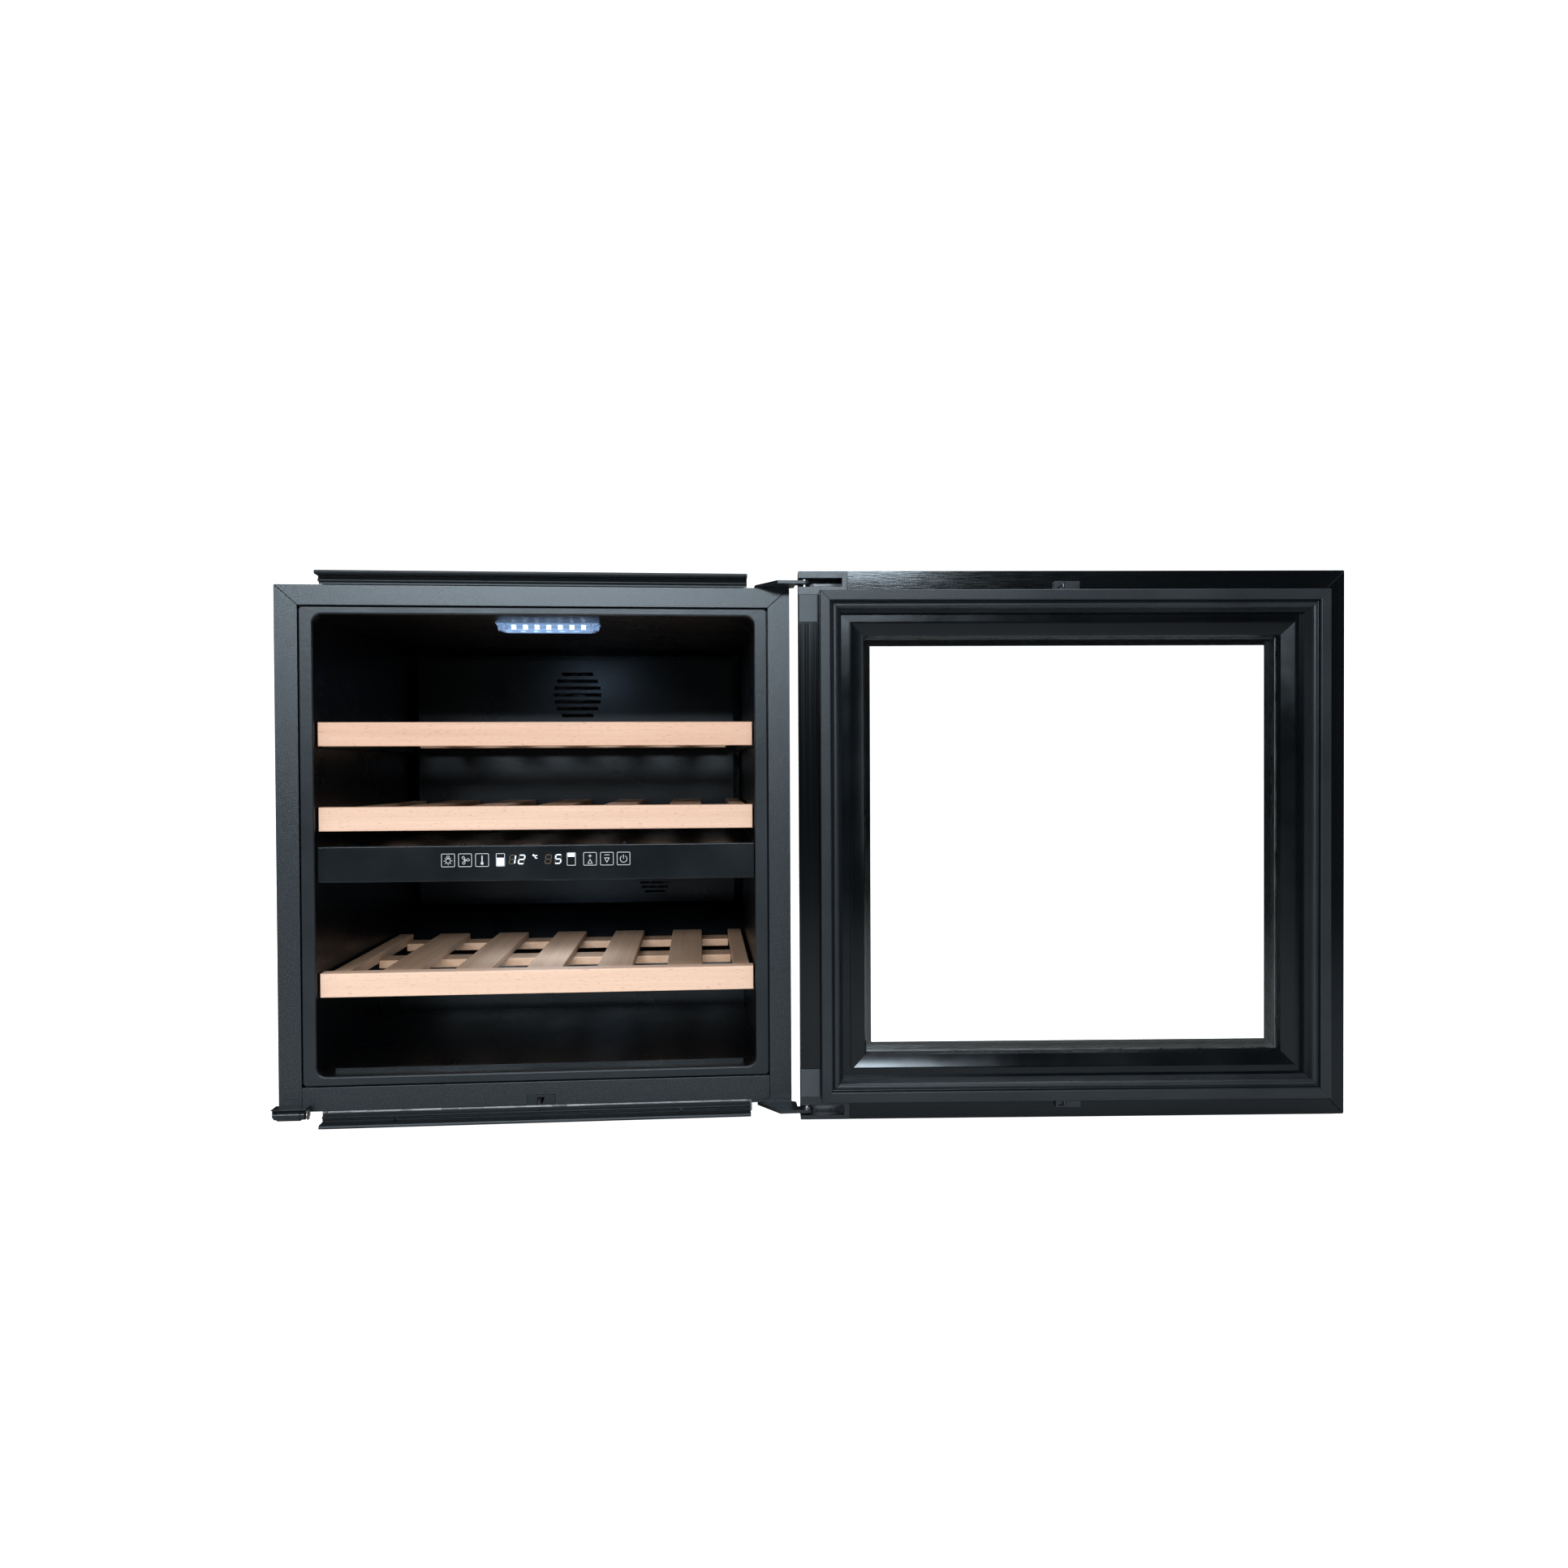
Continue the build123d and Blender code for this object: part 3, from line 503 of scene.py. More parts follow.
# %% Shell and frame
for name, node, material, radius, segments in (
    ("side_sheets", "side_panels", CASE_PAINT, 0.6, 2),
    ("top_sheet", "top_panel", CASE_PAINT, 0.6, 2),
    ("base_sheet", "base_pan", ZINC_SHEET, 0.5, 2),
    ("post_left", "frame_post_left", FRAME_PAINT, 0.7, 3),
    ("post_right", "frame_post_right", FRAME_PAINT, 0.7, 3),
    ("rail_top", "frame_rail_top", FRAME_PAINT, 0.6, 3),
    ("rail_bottom", "frame_rail_bottom", FRAME_PAINT, 0.6, 3),
    ("niche_trim_top", "trim_strip_top", TRIM, 0.42, 3),
    ("niche_trim_bottom", "trim_strip_bottom", TRIM, 0.42, 3),
    ("hinge_plate_top", "hinge_bracket_top", BRACKET_PAINT, 0.4, 2),
    ("hinge_plate_bottom", "hinge_bracket_bottom", BRACKET_PAINT, 0.4, 2),
    ("roller_cradle", "roller_bracket", BRACKET_PAINT, 0.25, 2),
    ("latch_plate", "latch_housing", LATCH_BLACK, 0.25, 2),
    ("latch_tongue", "latch_hook", RUNNER, 0.3, 2),
):
    eased(name, node, material, radius, segments)
print(len(pieces_made), "pieces eased so far")

# %% [markdown]
# The liner is one thermoformed tub. The faces at its mouth get a paler satin finish of their own, and the
# walls inside a darker black. The foam behind it takes the liner's black on its faces near the front:
# painted shade that keeps the gap between frame and bezel dark.

# %% Liner and foam
def second_finish_near_front(piece, depth):
    """Gives the second finish to the faces within a depth, in millimetres, of the front frame's face."""
    for face in piece.data.polygons:
        face.material_index = int(face.center.y < FRONT + depth * MM)


second_finish_near_front(eased("liner_tub", "inner_liner", [LINER, BEZEL], 0), 4)
# Painted shade: the foam's front faces wear the liner's black so the gap shows dark.
second_finish_near_front(eased("foam_block", "insulation_foam", [FOAM, LINER], 0), 13)
print("liner and foam set")

# %% [markdown]
# ## Shelves
# Each shelf is a beech front with softened corners, slats with a bottle's width between them, and cross
# bars below.

# %% Shelves, runners and zone parts
for level in ("upper", "middle", "lower"):
    eased(f"{level}_shelf_front", f"shelf_{level}_fascia", FRONT_BEECH[level], 0)
    eased(f"{level}_shelf_slats", f"shelf_{level}_slats", SLAT_BEECH, 1.2)
for name, node, material, radius in (
    ("runners", "shelf_runners", RUNNER, 0.6),
    ("divider", "zone_divider", LINER, 1.5),
    ("panel_bar", "control_panel", PANEL, 0.5),
    ("air_covers", "duct_covers", LINER, 0.7),
    ("fan_mounts", "fan_motors", FAN_PLASTIC, 0.6),
):
    eased(name, node, material, radius)

# %% [markdown]
# ## Door parts
# The door frame is built of glossy extrusions, and the hinge cups sit in its corners. The inner frame and
# the gasket are four bars each, cut at 45 degrees. Every bar is eased by itself, so a fine groove stays
# along each mitre.

# %% Door frame
for name, node, material, radius, segments in (
    ("door_stile_by_hinge", "door_stile_hinge", DOOR_STILE, 0.5, 2),
    ("door_stile_by_latch", "door_stile_free", DOOR_STILE, 0.5, 2),
    ("door_bar_top", "door_rail_top", DOOR_RAIL, 0.5, 2),
    ("door_bar_bottom", "door_rail_bottom", DOOR_RAIL, 0.5, 2),
    ("door_corner_caps", "door_cap_blocks", CAP, 0.4, 2),
    ("door_hinge_cups", "hinge_cups", CUP, 0.6, 2),
    ("door_strikes", "door_strike_blocks", CUP, 0.4, 2),
    ("inner_pane", "inner_glass", PANE, 0.3, 1),
    ("pane_spacer", "glass_spacer", SPACER, 0.3, 1),
):
    eased(name, node, material, radius, segments)
eased("door_liner_frame", "door_inner_frame", INNER_FRAME, 0.35, 3, parts=4)
eased("door_seal", "door_gasket", GASKET, 0.3, 3, parts=4)

# %% [markdown]
# ## Turned pieces
# Feet, screws, the roller and fan hubs are round, so each is a profile turned about an axis: the points of
# half its section, repeated in small steps all the way round, with faces between.

# %% A lathe and a carving helper
def turned(bm, profile, centre, axis, steps=32):
    """Turns (distance along, radius) points, in millimetres, about an axis through a centre in metres."""
    axis = Vector(axis).normalized()
    side = axis.orthogonal().normalized()
    other = axis.cross(side)
    rings = []
    for along, radius in profile:
        ring = []
        for step in range(steps if radius > 0 else 1):
            turn = math.tau * step / steps
            outward = side * math.cos(turn) + other * math.sin(turn)
            ring.append(bm.verts.new(centre + axis * along * MM + outward * radius * MM))
        rings.append(ring)
    for first, second in zip(rings, rings[1:]):
        for step in range(steps):
            loop = [first[step % len(first)], first[(step + 1) % len(first)],
                    second[(step + 1) % len(second)], second[step % len(second)]]
            kept = [v for i, v in enumerate(loop) if v not in loop[:i]]
            if len(kept) > 2:
                bm.faces.new(kept)
    for ring, turn_over in ((rings[0], True), (rings[-1], False)):
        if len(ring) > 1:
            bm.faces.new(ring[::-1] if turn_over else ring)
    bmesh.ops.recalc_face_normals(bm, faces=bm.faces)


def slab(bm, low, high, turn=None):
    """A box between two corners given in metres."""
    corners = [Vector((x, y, z))
               for x in (low[0], high[0]) for y in (low[1], high[1]) for z in (low[2], high[2])]
    verts = [bm.verts.new(turn @ c if turn else c) for c in corners]
    made = [bm.faces.new([verts[i] for i in loop]) for loop in
            ((0, 1, 3, 2), (4, 6, 7, 5), (0, 4, 5, 1), (2, 3, 7, 6), (0, 2, 6, 4), (1, 5, 7, 3))]
    bmesh.ops.recalc_face_normals(bm, faces=made)
    return made


def carved(body_bm, tool_bm):
    """The first shape with the second cut out of it."""
    made = []
    for bm in (body_bm, tool_bm):
        mesh = bpy.data.meshes.new("carving")
        bm.to_mesh(mesh)
        bm.free()
        made.append(bpy.data.objects.new("carving", mesh))
        bpy.context.scene.collection.objects.link(made[-1])
    cut = made[0].modifiers.new("cut", "BOOLEAN")
    cut.object, cut.operation, cut.solver = made[1], "DIFFERENCE", "EXACT"
    bpy.context.view_layer.update()
    mesh = bpy.data.meshes.new_from_object(made[0].evaluated_get(bpy.context.evaluated_depsgraph_get()))
    for one in made:
        bpy.data.objects.remove(one)
    return mesh


# %% [markdown]
# ### Screws
# A pan-head screw is a low dome with a cross recess. One head is turned and carved, and its copies are set
# wherever the drawing has a screw.

# %% Screw heads
def screw_head(radius, height):
    head, cross = bmesh.new(), bmesh.new()
    dome = [(0, 0), (0, radius), (height * 0.45, radius), (height * 0.8, radius * 0.8),
            (height, radius * 0.45), (height * 1.02, 0)]
    turned(head, dome, Vector(), (0, 0, 1), 28)
    long, wide = radius * 0.62 * MM, radius * 0.13 * MM
    for half_x, half_y in ((long, wide), (wide, long)):
        slab(cross, (-half_x, -half_y, height * 0.35 * MM), (half_x, half_y, height * 2 * MM))
    return carved(head, cross)


def set_screws(name, places, radius, height, material, body, replaced=()):
    """Heads at (point, outward direction)."""
    head, bm = screw_head(radius, height), bmesh.new()
    for point, outward in places:
        twist = Matrix.Rotation(random.uniform(0, math.pi), 4, "Z")
        upright = Vector(outward).to_track_quat("Z", "Y").to_matrix().to_4x4()
        place = Matrix.Translation(point) @ upright @ twist
        start = len(bm.verts)
        bm.from_mesh(head)
        bm.verts.ensure_lookup_table()
        for vert in bm.verts[start:]:
            vert.co = place @ vert.co
    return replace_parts(add_piece(name, bm, material, body, 30), *replaced)


UP, DOWN, BACKWARD = (0, 0, 1), (0, 0, -1), (0, 1, 0)
PLATE_TOP, PLATE_UNDERSIDE, PANEL_TOP = 589.5, 16.5, 304.4
hinge_screws = [(on_cabinet(x, y, z), out) for z, out in ((PLATE_TOP, UP), (PLATE_UNDERSIDE, DOWN))
                for x in (248, 262) for y in (22, 50)]
set_screws("hinge_screws", hinge_screws, 4, 2, SCREW_ZINC, "cabinet", ["screws"])
panel_screws = [(on_cabinet(x, 22, PANEL_TOP), UP) for x in (-84, 4, 92)]
set_screws("panel_screws", panel_screws, 3.2, 2.2, RUNNER, "cabinet")
rear_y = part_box("rear_panel")[1].y
rear_spots = [(x, z) for x in (-262, 0, 262) for z in (182, 380, 574)]
rear_spots += [(x, z) for x in (-262, -90, 90, 262) for z in (30, 162)]
rear_screws = [(Vector((x * MM, rear_y, z * MM)), BACKWARD) for x, z in rear_spots]
set_screws("rear_screws", rear_screws, 4, 2.2, SCREW_ZINC, "cabinet")

# %% [markdown]
# ### Feet and roller
# The feet are ribbed rubber pads on short stems, fixed, with a hole up the middle. The roller has a wide
# barrel between two narrower ends, which keeps the door off its shoulders. A dished clip on the axle's end
# holds it in.

# %% Feet and roller
feet_bm = bmesh.new()
pad = [(12, 2.6), (0, 2.6), (0, 14.5), (1, 15.8), (2.6, 16), (3.2, 15.2), (4.2, 15.2), (4.8, 16), (6.6, 16),
       (8.4, 15), (9, 13.5), (9.2, 8.2), (19.9, 8.2), (19.9, 0), (12, 0), (12, 2.6)]
for x in (-200, 200):
    for y in (70, 450):
        turned(feet_bm, pad, on_cabinet(x, y, 0), UP, 40)
bmesh.ops.remove_doubles(feet_bm, verts=feet_bm.verts, dist=1e-6)
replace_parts(add_piece("rubber_feet", feet_bm, FOOT_RUBBER, "cabinet", 50), "feet")

roller_low, roller_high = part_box("door_roller")
axle_y, axle_z = (roller_low.y + roller_high.y) / 2, (roller_low.z + roller_high.z) / 2
roller_bm = bmesh.new()
across = (roller_high.x - roller_low.x) / MM
barrel = [(0, 2.06), (0, 4.5), (0.5, 5.1), (3.2, 5.1), (3.5, 5.9), (4.0, 6.3), (across - 5.2, 6.3),
          (across - 4.7, 5.9), (across - 4.4, 5.1), (across - 0.5, 5.1), (across, 4.5), (across, 2.06),
          (0, 2.06)]
turned(roller_bm, barrel, Vector((roller_low.x, axle_y, axle_z)), (1, 0, 0), 48)
bmesh.ops.remove_doubles(roller_bm, verts=roller_bm.verts, dist=1e-6)
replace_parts(add_piece("roller_barrel", roller_bm, ROLLER_PLASTIC, "roller", 25), "door_roller")

clip_bm = bmesh.new()
clip = [(0, 2.1), (0, 4.7), (0.5, 5.3), (1.1, 5.3), (1.5, 4.8), (1.5, 4.2), (0.7, 3.9), (0.7, 2.1), (0, 2.1)]
turned(clip_bm, clip, Vector((roller_high.x + 1.6 * MM, axle_y, axle_z)), (1, 0, 0), 40)
bmesh.ops.remove_doubles(clip_bm, verts=clip_bm.verts, dist=1e-6)
add_piece("axle_clip", clip_bm, SCREW_ZINC, "cabinet", 30)

# %% [markdown]
# ### Fan wheels
# A fan blade is a thin twisted sheet: steep at the hub and flatter at the tip, with its leading edge swept
# forward. Each blade is a small grid of points given thickness.

# %% Fan wheels
def fan_wheel(name, node, blades, depth):
    low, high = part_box(node)
    centre, reach = (low + high) / 2, (high.x - low.x) / 2 / MM * 0.98
    bm = bmesh.new()
    hub = reach * 0.34
    profile = [(-depth / 2, 2.06), (-depth / 2, hub * 0.8), (-depth / 2 + 1.2, hub), (depth / 2, hub),
               (depth / 2, 2.06), (-depth / 2, 2.06)]
    turned(bm, profile, centre, BACKWARD, 36)
    for blade in range(blades):
        grid = []
        for i in range(9):
            out = i / 8
            radius = hub * 0.9 + (reach - hub * 0.9) * out
            pitch = math.radians(52 - 26 * out)
            chord = (14 + 22 * out) * reach / 40
            sweep = math.radians(16) * out**2
            row = []
            for j in range(7):
                along = (j / 6 - 0.5) * chord
                turn = math.tau * blade / blades + sweep + along * math.cos(pitch) / radius
                lift = along * math.sin(pitch) * 0.42 + 1.2 * (1 - (2 * j / 6 - 1) ** 2)
                spot = Vector((radius * math.cos(turn), lift, radius * math.sin(turn)))
                row.append(bm.verts.new(centre + spot * MM))
            grid.append(row)
        sheet = [bm.faces.new((a[j], a[j + 1], b[j + 1], b[j]))
                 for a, b in zip(grid, grid[1:]) for j in range(6)]
        bmesh.ops.solidify(bm, geom=sheet, thickness=1.2 * MM)
    bmesh.ops.remove_doubles(bm, verts=bm.verts, dist=1e-6)
    bmesh.ops.recalc_face_normals(bm, faces=bm.faces)
    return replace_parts(add_piece(name, bm, FAN_PLASTIC, nodes[node]["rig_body"], 40), node)


fan_wheel("upper_fan_wheel", "fan_rotor_upper", 7, 11)
fan_wheel("lower_fan_wheel", "fan_rotor_lower", 7, 9)
fan_wheel("cooling_fan_wheel", "fan_rotor_condenser", 5, 10)
print(len(pieces_made), "pieces so far")

# %% [markdown]
# ### Back of the cabinet
# The rear sheet is pressed with broad shallow fields that stop it drumming. The machine cover has rows of
# louvres, each a slot with a small hood over it that sheds dust.

# %% Rear sheet and louvre hoods
def pressed_sheet(bm, low, high, fields, depth, slope):
    """A sheet in x and z with raised rectangular fields, and lines of points along all their edges."""
    near = slope * 0.9

    def raised(x, z):
        return any(f[0] + near < x < f[1] - near and f[2] + near < z < f[3] - near for f in fields)

    xs = sorted({low.x, high.x} | {v for f in fields for v in (f[0], f[0] + slope, f[1] - slope, f[1])})
    zs = sorted({low.z, high.z} | {v for f in fields for v in (f[2], f[2] + slope, f[3] - slope, f[3])})
    grid = [[bm.verts.new((x, high.y + (depth if raised(x, z) else 0), z)) for x in xs] for z in zs]
    faces = [bm.faces.new((a[i], a[i + 1], b[i + 1], b[i]))
             for a, b in zip(grid, grid[1:]) for i in range(len(xs) - 1)]
    bmesh.ops.recalc_face_normals(bm, faces=faces)
    bmesh.ops.solidify(bm, geom=faces, thickness=(high.y - low.y))
    bmesh.ops.recalc_face_normals(bm, faces=bm.faces)


rear_low, rear_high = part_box("rear_panel")
rear_bm = bmesh.new()
fields = [(x0 * MM, x1 * MM, z0 * MM, z1 * MM)
          for z0, z1 in ((206, 360), (400, 554)) for x0, x1 in ((-236, -20), (20, 236))]
pressed_sheet(rear_bm, rear_low, rear_high, fields, 1.6 * MM, 5 * MM)
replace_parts(add_piece("rear_sheet", rear_bm, ZINC_SHEET, "cabinet", 20), "rear_panel")
eased("machine_cover_sheet", "machine_cover", ZINC_SHEET, 0)

HOOD_REACH, HOOD_DROP = 2.6, 5.2
turns = [math.radians(15 * k) for k in range(7)]
arc = [(math.sin(a) * HOOD_REACH * MM, -(1 - math.cos(a)) * HOOD_DROP * MM) for a in turns]
hoods = bmesh.new()
for row in range(9):
    z = (42 + row * 14 + 5) * MM
    for x0, x1 in ((-130, -20), (0, 110), (130, 240)):
        rows = []
        for x, shrink in ((x0, 0), (x0 + 1.5, 1), (x1 - 1.5, 1), (x1, 0)):
            rows.append([hoods.verts.new((x * MM, rear_y + out * shrink + 0.05 * MM, z + down))
                         for out, down in arc])
        for a, b in zip(rows, rows[1:]):
            for k in range(6):
                hoods.faces.new((a[k], a[k + 1], b[k + 1], b[k]))
bmesh.ops.recalc_face_normals(hoods, faces=hoods.faces)
bmesh.ops.solidify(hoods, geom=list(hoods.faces), thickness=0.5 * MM)
add_piece("louvre_hoods", hoods, ZINC_SHEET, "cabinet", 45)

# %% [markdown]
# ## Control panel symbols
# The panel is smooth and black, and its symbols are lit from behind. Each symbol is a line drawing, so a
# small helper turns a line into a flat ribbon with mitred corners. Digits are seven bars each, leaning a
# little: the lit ones are white, and the rest are dim brown with a faint painted glow, though unlit.

# %% Ribbons and symbols
SYMBOL_FACE = 7.85


def ribbon(bm, line, width, closed=False, thick=0.3, face=SYMBOL_FACE):
    """A flat mitred strip along a line of (x, z) points in millimetres, on the panel's face."""
    count = len(line)
    line = [Vector(p) for p in line]
    edges = []
    for i, point in enumerate(line):
        before = line[i - 1] if i or closed else point * 2 - line[1]
        after = line[(i + 1) % count] if i < count - 1 or closed else point * 2 - line[i - 1]
        into, out = (point - before).normalized(), (after - point).normalized()
        along = (into + out).normalized() if (into + out).length > 1e-6 else into
        normal = Vector((-along.y, along.x)) * (width / 2 / max(along.dot(out), 0.35))
        edges.append((point + normal, point - normal))
    rings = []
    for a, b in edges:
        section = ((face, a), (face, b), (face + thick, b), (face + thick, a))
        rings.append([bm.verts.new(on_cabinet(p.x, y, p.y)) for y, p in section])
    spans = list(zip(rings, rings[1:])) + ([(rings[-1], rings[0])] if closed else [])
    for a, b in spans:
        for k in range(4):
            bm.faces.new((a[k], a[(k + 1) % 4], b[(k + 1) % 4], b[k]))
    if not closed:
        bm.faces.new(rings[0])
        bm.faces.new(rings[-1][::-1])
    bmesh.ops.recalc_face_normals(bm, faces=bm.faces)


def ring_line(x, z, radius, start=0, sweep=360, steps=20):
    points = [math.radians(start + sweep * k / steps) for k in range(steps + (sweep < 360))]
    return [(x + radius * math.cos(a), z + radius * math.sin(a)) for a in points]


def box_line(x, z, half_w, half_h, corner=1.0):
    spots = []
    out, up = half_w - corner, half_h - corner
    for to_x, to_z, start in ((out, up, 0), (-out, up, 90), (-out, -up, 180), (out, -up, 270)):
        spots += ring_line(x + to_x, z + to_z, corner, start, 90, 3)
    return spots


# %% Key symbols
keys = bmesh.new()
ROW_Z = 288.3
UPPER_ZONE_X, LOWER_ZONE_X = -41.7, 34.8
KEYS = {"light": -97.8, "fan": -79.6, "temperature": -61.4, "up": 55.2, "down": 73.6, "power": 91.8}
for x in KEYS.values():
    ribbon(keys, box_line(x, ROW_Z, 7.0, 7.0), 0.5, True)
x = KEYS["light"]
ribbon(keys, ring_line(x, ROW_Z - 0.6, 2.5), 0.55, True)
ribbon(keys, box_line(x, ROW_Z + 3.6, 1.2, 1.1, 0.3), 0.45, True)
for turn in range(180 - 45, 405 + 1, 45):
    a = math.radians(turn)
    ribbon(keys, [(x + r * math.cos(a), ROW_Z - 0.6 + r * math.sin(a)) for r in (3.5, 4.7)], 0.5)
x = KEYS["fan"]
ribbon(keys, ring_line(x, ROW_Z, 0.8), 0.5, True)
blade = [(1.2, -0.2), (2.6, -1.5), (4.2, -1.4), (4.7, 0.0), (3.6, 1.1), (1.8, 0.8)]
for turn in (10, 130, 250):
    a = math.radians(turn)
    swung = [(x + u * math.cos(a) - v * math.sin(a), ROW_Z + u * math.sin(a) + v * math.cos(a))
             for u, v in blade]
    ribbon(keys, swung, 0.45, True)
x = KEYS["temperature"]
ribbon(keys, [(x, ROW_Z + 4.8), (x, ROW_Z - 2.6)], 1.1)
ribbon(keys, ring_line(x, ROW_Z - 3.6, 1.0), 1.1, True)
x = KEYS["up"]
ribbon(keys, [(x - 1.9, ROW_Z + 3.2), (x + 1.9, ROW_Z + 3.2)], 0.6)
ribbon(keys, [(x, ROW_Z + 1.4), (x, ROW_Z + 5.0)], 0.6)
ribbon(keys, [(x - 2.4, ROW_Z - 4.9), (x + 2.4, ROW_Z - 4.9), (x, ROW_Z - 0.5)], 0.5, True)
x = KEYS["down"]
ribbon(keys, [(x - 2.8, ROW_Z + 4.2), (x + 2.8, ROW_Z + 4.2)], 0.6)
ribbon(keys, [(x - 2.5, ROW_Z + 0.9), (x, ROW_Z - 3.9), (x + 2.5, ROW_Z + 0.9)], 0.55, True)
x = KEYS["power"]
ribbon(keys, ring_line(x, ROW_Z - 0.4, 3.7, 122, 296, 22), 0.55)
ribbon(keys, [(x, ROW_Z + 4.4), (x, ROW_Z - 0.2)], 0.6)
for x in (UPPER_ZONE_X, LOWER_ZONE_X):
    ribbon(keys, box_line(x, ROW_Z, 4.5, 6.9, 0.8), 0.55, True)
ribbon(keys, [(-46, ROW_Z + 2.1), (-37.4, ROW_Z + 2.1)], 0.5)
add_piece("key_symbols", keys, SYMBOL, "cabinet", 30)

# %% Digits and zone fills
BARS = {
    "a": ((-2.5, 4.7), (2.5, 4.7)),
    "b": ((3.0, 4.2), (3.0, 0.5)),
    "c": ((3.0, -0.5), (3.0, -4.2)),
    "d": ((-2.5, -4.7), (2.5, -4.7)),
    "e": ((-3.0, -0.5), (-3.0, -4.2)),
    "f": ((-3.0, 4.2), (-3.0, 0.5)),
    "g": ((-2.4, 0.0), (2.4, 0.0)),
}
LEAN = 0.15
bright, dim = bmesh.new(), bmesh.new()
for x, on in ((-28.9, "bc"), (-18.9, "abged"), (9.9, ""), (20.6, "afgcd")):
    for bar, ends in BARS.items():
        leaning = [(x + u + LEAN * v, ROW_Z + 0.2 + v) for u, v in ends]
        ribbon(bright if bar in on else dim, leaning, 1.25 if bar in on else 0.95)
for x, fill_low, fill_high in ((UPPER_ZONE_X, -6.2, 1.8), (LOWER_ZONE_X, 2.6, 6.2)):
    ribbon(bright, [(x, ROW_Z + fill_low), (x, ROW_Z + fill_high)], 7.4, face=7.9, thick=0.2)
ribbon(bright, ring_line(-6.0, ROW_Z + 4.6, 0.7, steps=10), 0.8, True)
ribbon(bright, ring_line(-3.0, ROW_Z + 2.9, 1.5, 50, 260, 12), 0.8)
add_piece("lit_digits", bright, DIGIT_LIT, "cabinet", 30)
# The unlit bars carry a painted glow.
add_piece("unlit_digits", dim, DIGIT_DIM_GLOW, "cabinet", 30)
print("symbols and digits set")

# %% [markdown]
# ## Lamps
# Each lamp is a clear cover over a strip of small white LEDs. Fine ribs under the cover spread the light.
# The ends slope, and a screw in a small boss holds each.

# %% LEDs, ribs and lamp screws
RIB = [(0, 0), (0.4, 0.55), (99.6, 0.55), (100, 0)]
BOSS = [(0, 4.2), (6.5, 3.6), (7.6, 3.4), (7.8, 0), (0, 0)]
CEILINGS = (558.0, 268.0)
LAMP_Y = 99
chips, ribs, lamp_screws = bmesh.new(), bmesh.new(), []
for ceiling in CEILINGS:
    for k in range(7):
        x = (k - 3) * 13.5
        low = on_cabinet(x - 2.4, LAMP_Y - 2, ceiling - 3.0)
        slab(chips, low, on_cabinet(x + 2.4, LAMP_Y + 2, ceiling - 1.7))
    for k in range(9):
        y = 91 + k * 2
        turned(ribs, RIB, on_cabinet(-50, y, ceiling - 9), (1, 0, 0), 10)
    for x in (-55, 55):
        turned(ribs, BOSS, on_cabinet(x, LAMP_Y, ceiling), DOWN, 20)
        lamp_screws.append((on_cabinet(x, LAMP_Y, ceiling - 7.7), DOWN))
round_edges(chips, 0.3, 2)
add_piece("lamp_leds", chips, LED, "cabinet")
add_piece("lamp_ribs", ribs, LAMP_ACRYLIC, "cabinet", 60)
set_screws("lamp_screws", lamp_screws, 2.4, 1.3, SCREW_ZINC, "cabinet")

# %% [markdown]
# ## Outer pane
# The pane is one sheet of glass with black print round the edge of its back face. The faces of that ring
# get the print's finish. From outside it is seen through the glass, which is why it looks so deep and
# glossy.

# %% Outer pane with its print
PRINT_MARGIN = 79.0
HALF_DOOR, DOOR_LOW, DOOR_HIGH = 297.5, 5.4, 599.4
PANE_FRONT, PANE_BACK, PANE_EDGE = -42, -38, 0.6
pane = bmesh.new()


def pane_loop(margin, y):
    bottom, top = DOOR_LOW + margin, DOOR_HIGH - margin
    corners = ((-1, bottom), (1, bottom), (1, top), (-1, top))
    return [pane.verts.new(on_door(side * (HALF_DOOR - margin), y, z)) for side, z in corners]


loops = [pane_loop(margin, y) for margin, y in (
    (PANE_EDGE, PANE_FRONT), (0, PANE_FRONT + PANE_EDGE), (0, PANE_BACK - PANE_EDGE), (PANE_EDGE, PANE_BACK),
    (PRINT_MARGIN, PANE_BACK),
)]
pane.faces.new(loops[0])
pane.faces.new(loops[-1][::-1])
for index, (a, b) in enumerate(zip(loops, loops[1:])):
    for k in range(4):
        face = pane.faces.new((a[k], b[k], b[(k + 1) % 4], a[(k + 1) % 4]))
        face.material_index = 1 if index == 3 else 0
bmesh.ops.recalc_face_normals(pane, faces=pane.faces)
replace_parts(add_piece("outer_pane", pane, [PANE, PRINT_AND_HOLE_SHADE], "door", 20), "outer_glass")

# %% [markdown]
# A brushed steel strip lines each hinge cup behind the bracket's nose, and a bright catch plate sits in the
# notch of each strike block.

# %% Cup strips and catch plates
strips = bmesh.new()
for low_z, high_z in ((10.4, 20.4), (583.1, 591.4)):
    slab(strips, on_cabinet(251, -33.95, low_z), on_cabinet(281, -33.2, high_z), DOOR_SWING)
for low_z, high_z in ((18.8, 26.0), (578.8, 586.0)):
    slab(strips, on_cabinet(9.8, -16.3, low_z), on_cabinet(11.6, -13.1, high_z), DOOR_SWING)
round_edges(strips, 0.2, 2)
add_piece("cup_strips", strips, CUP_STEEL, "door", 30)
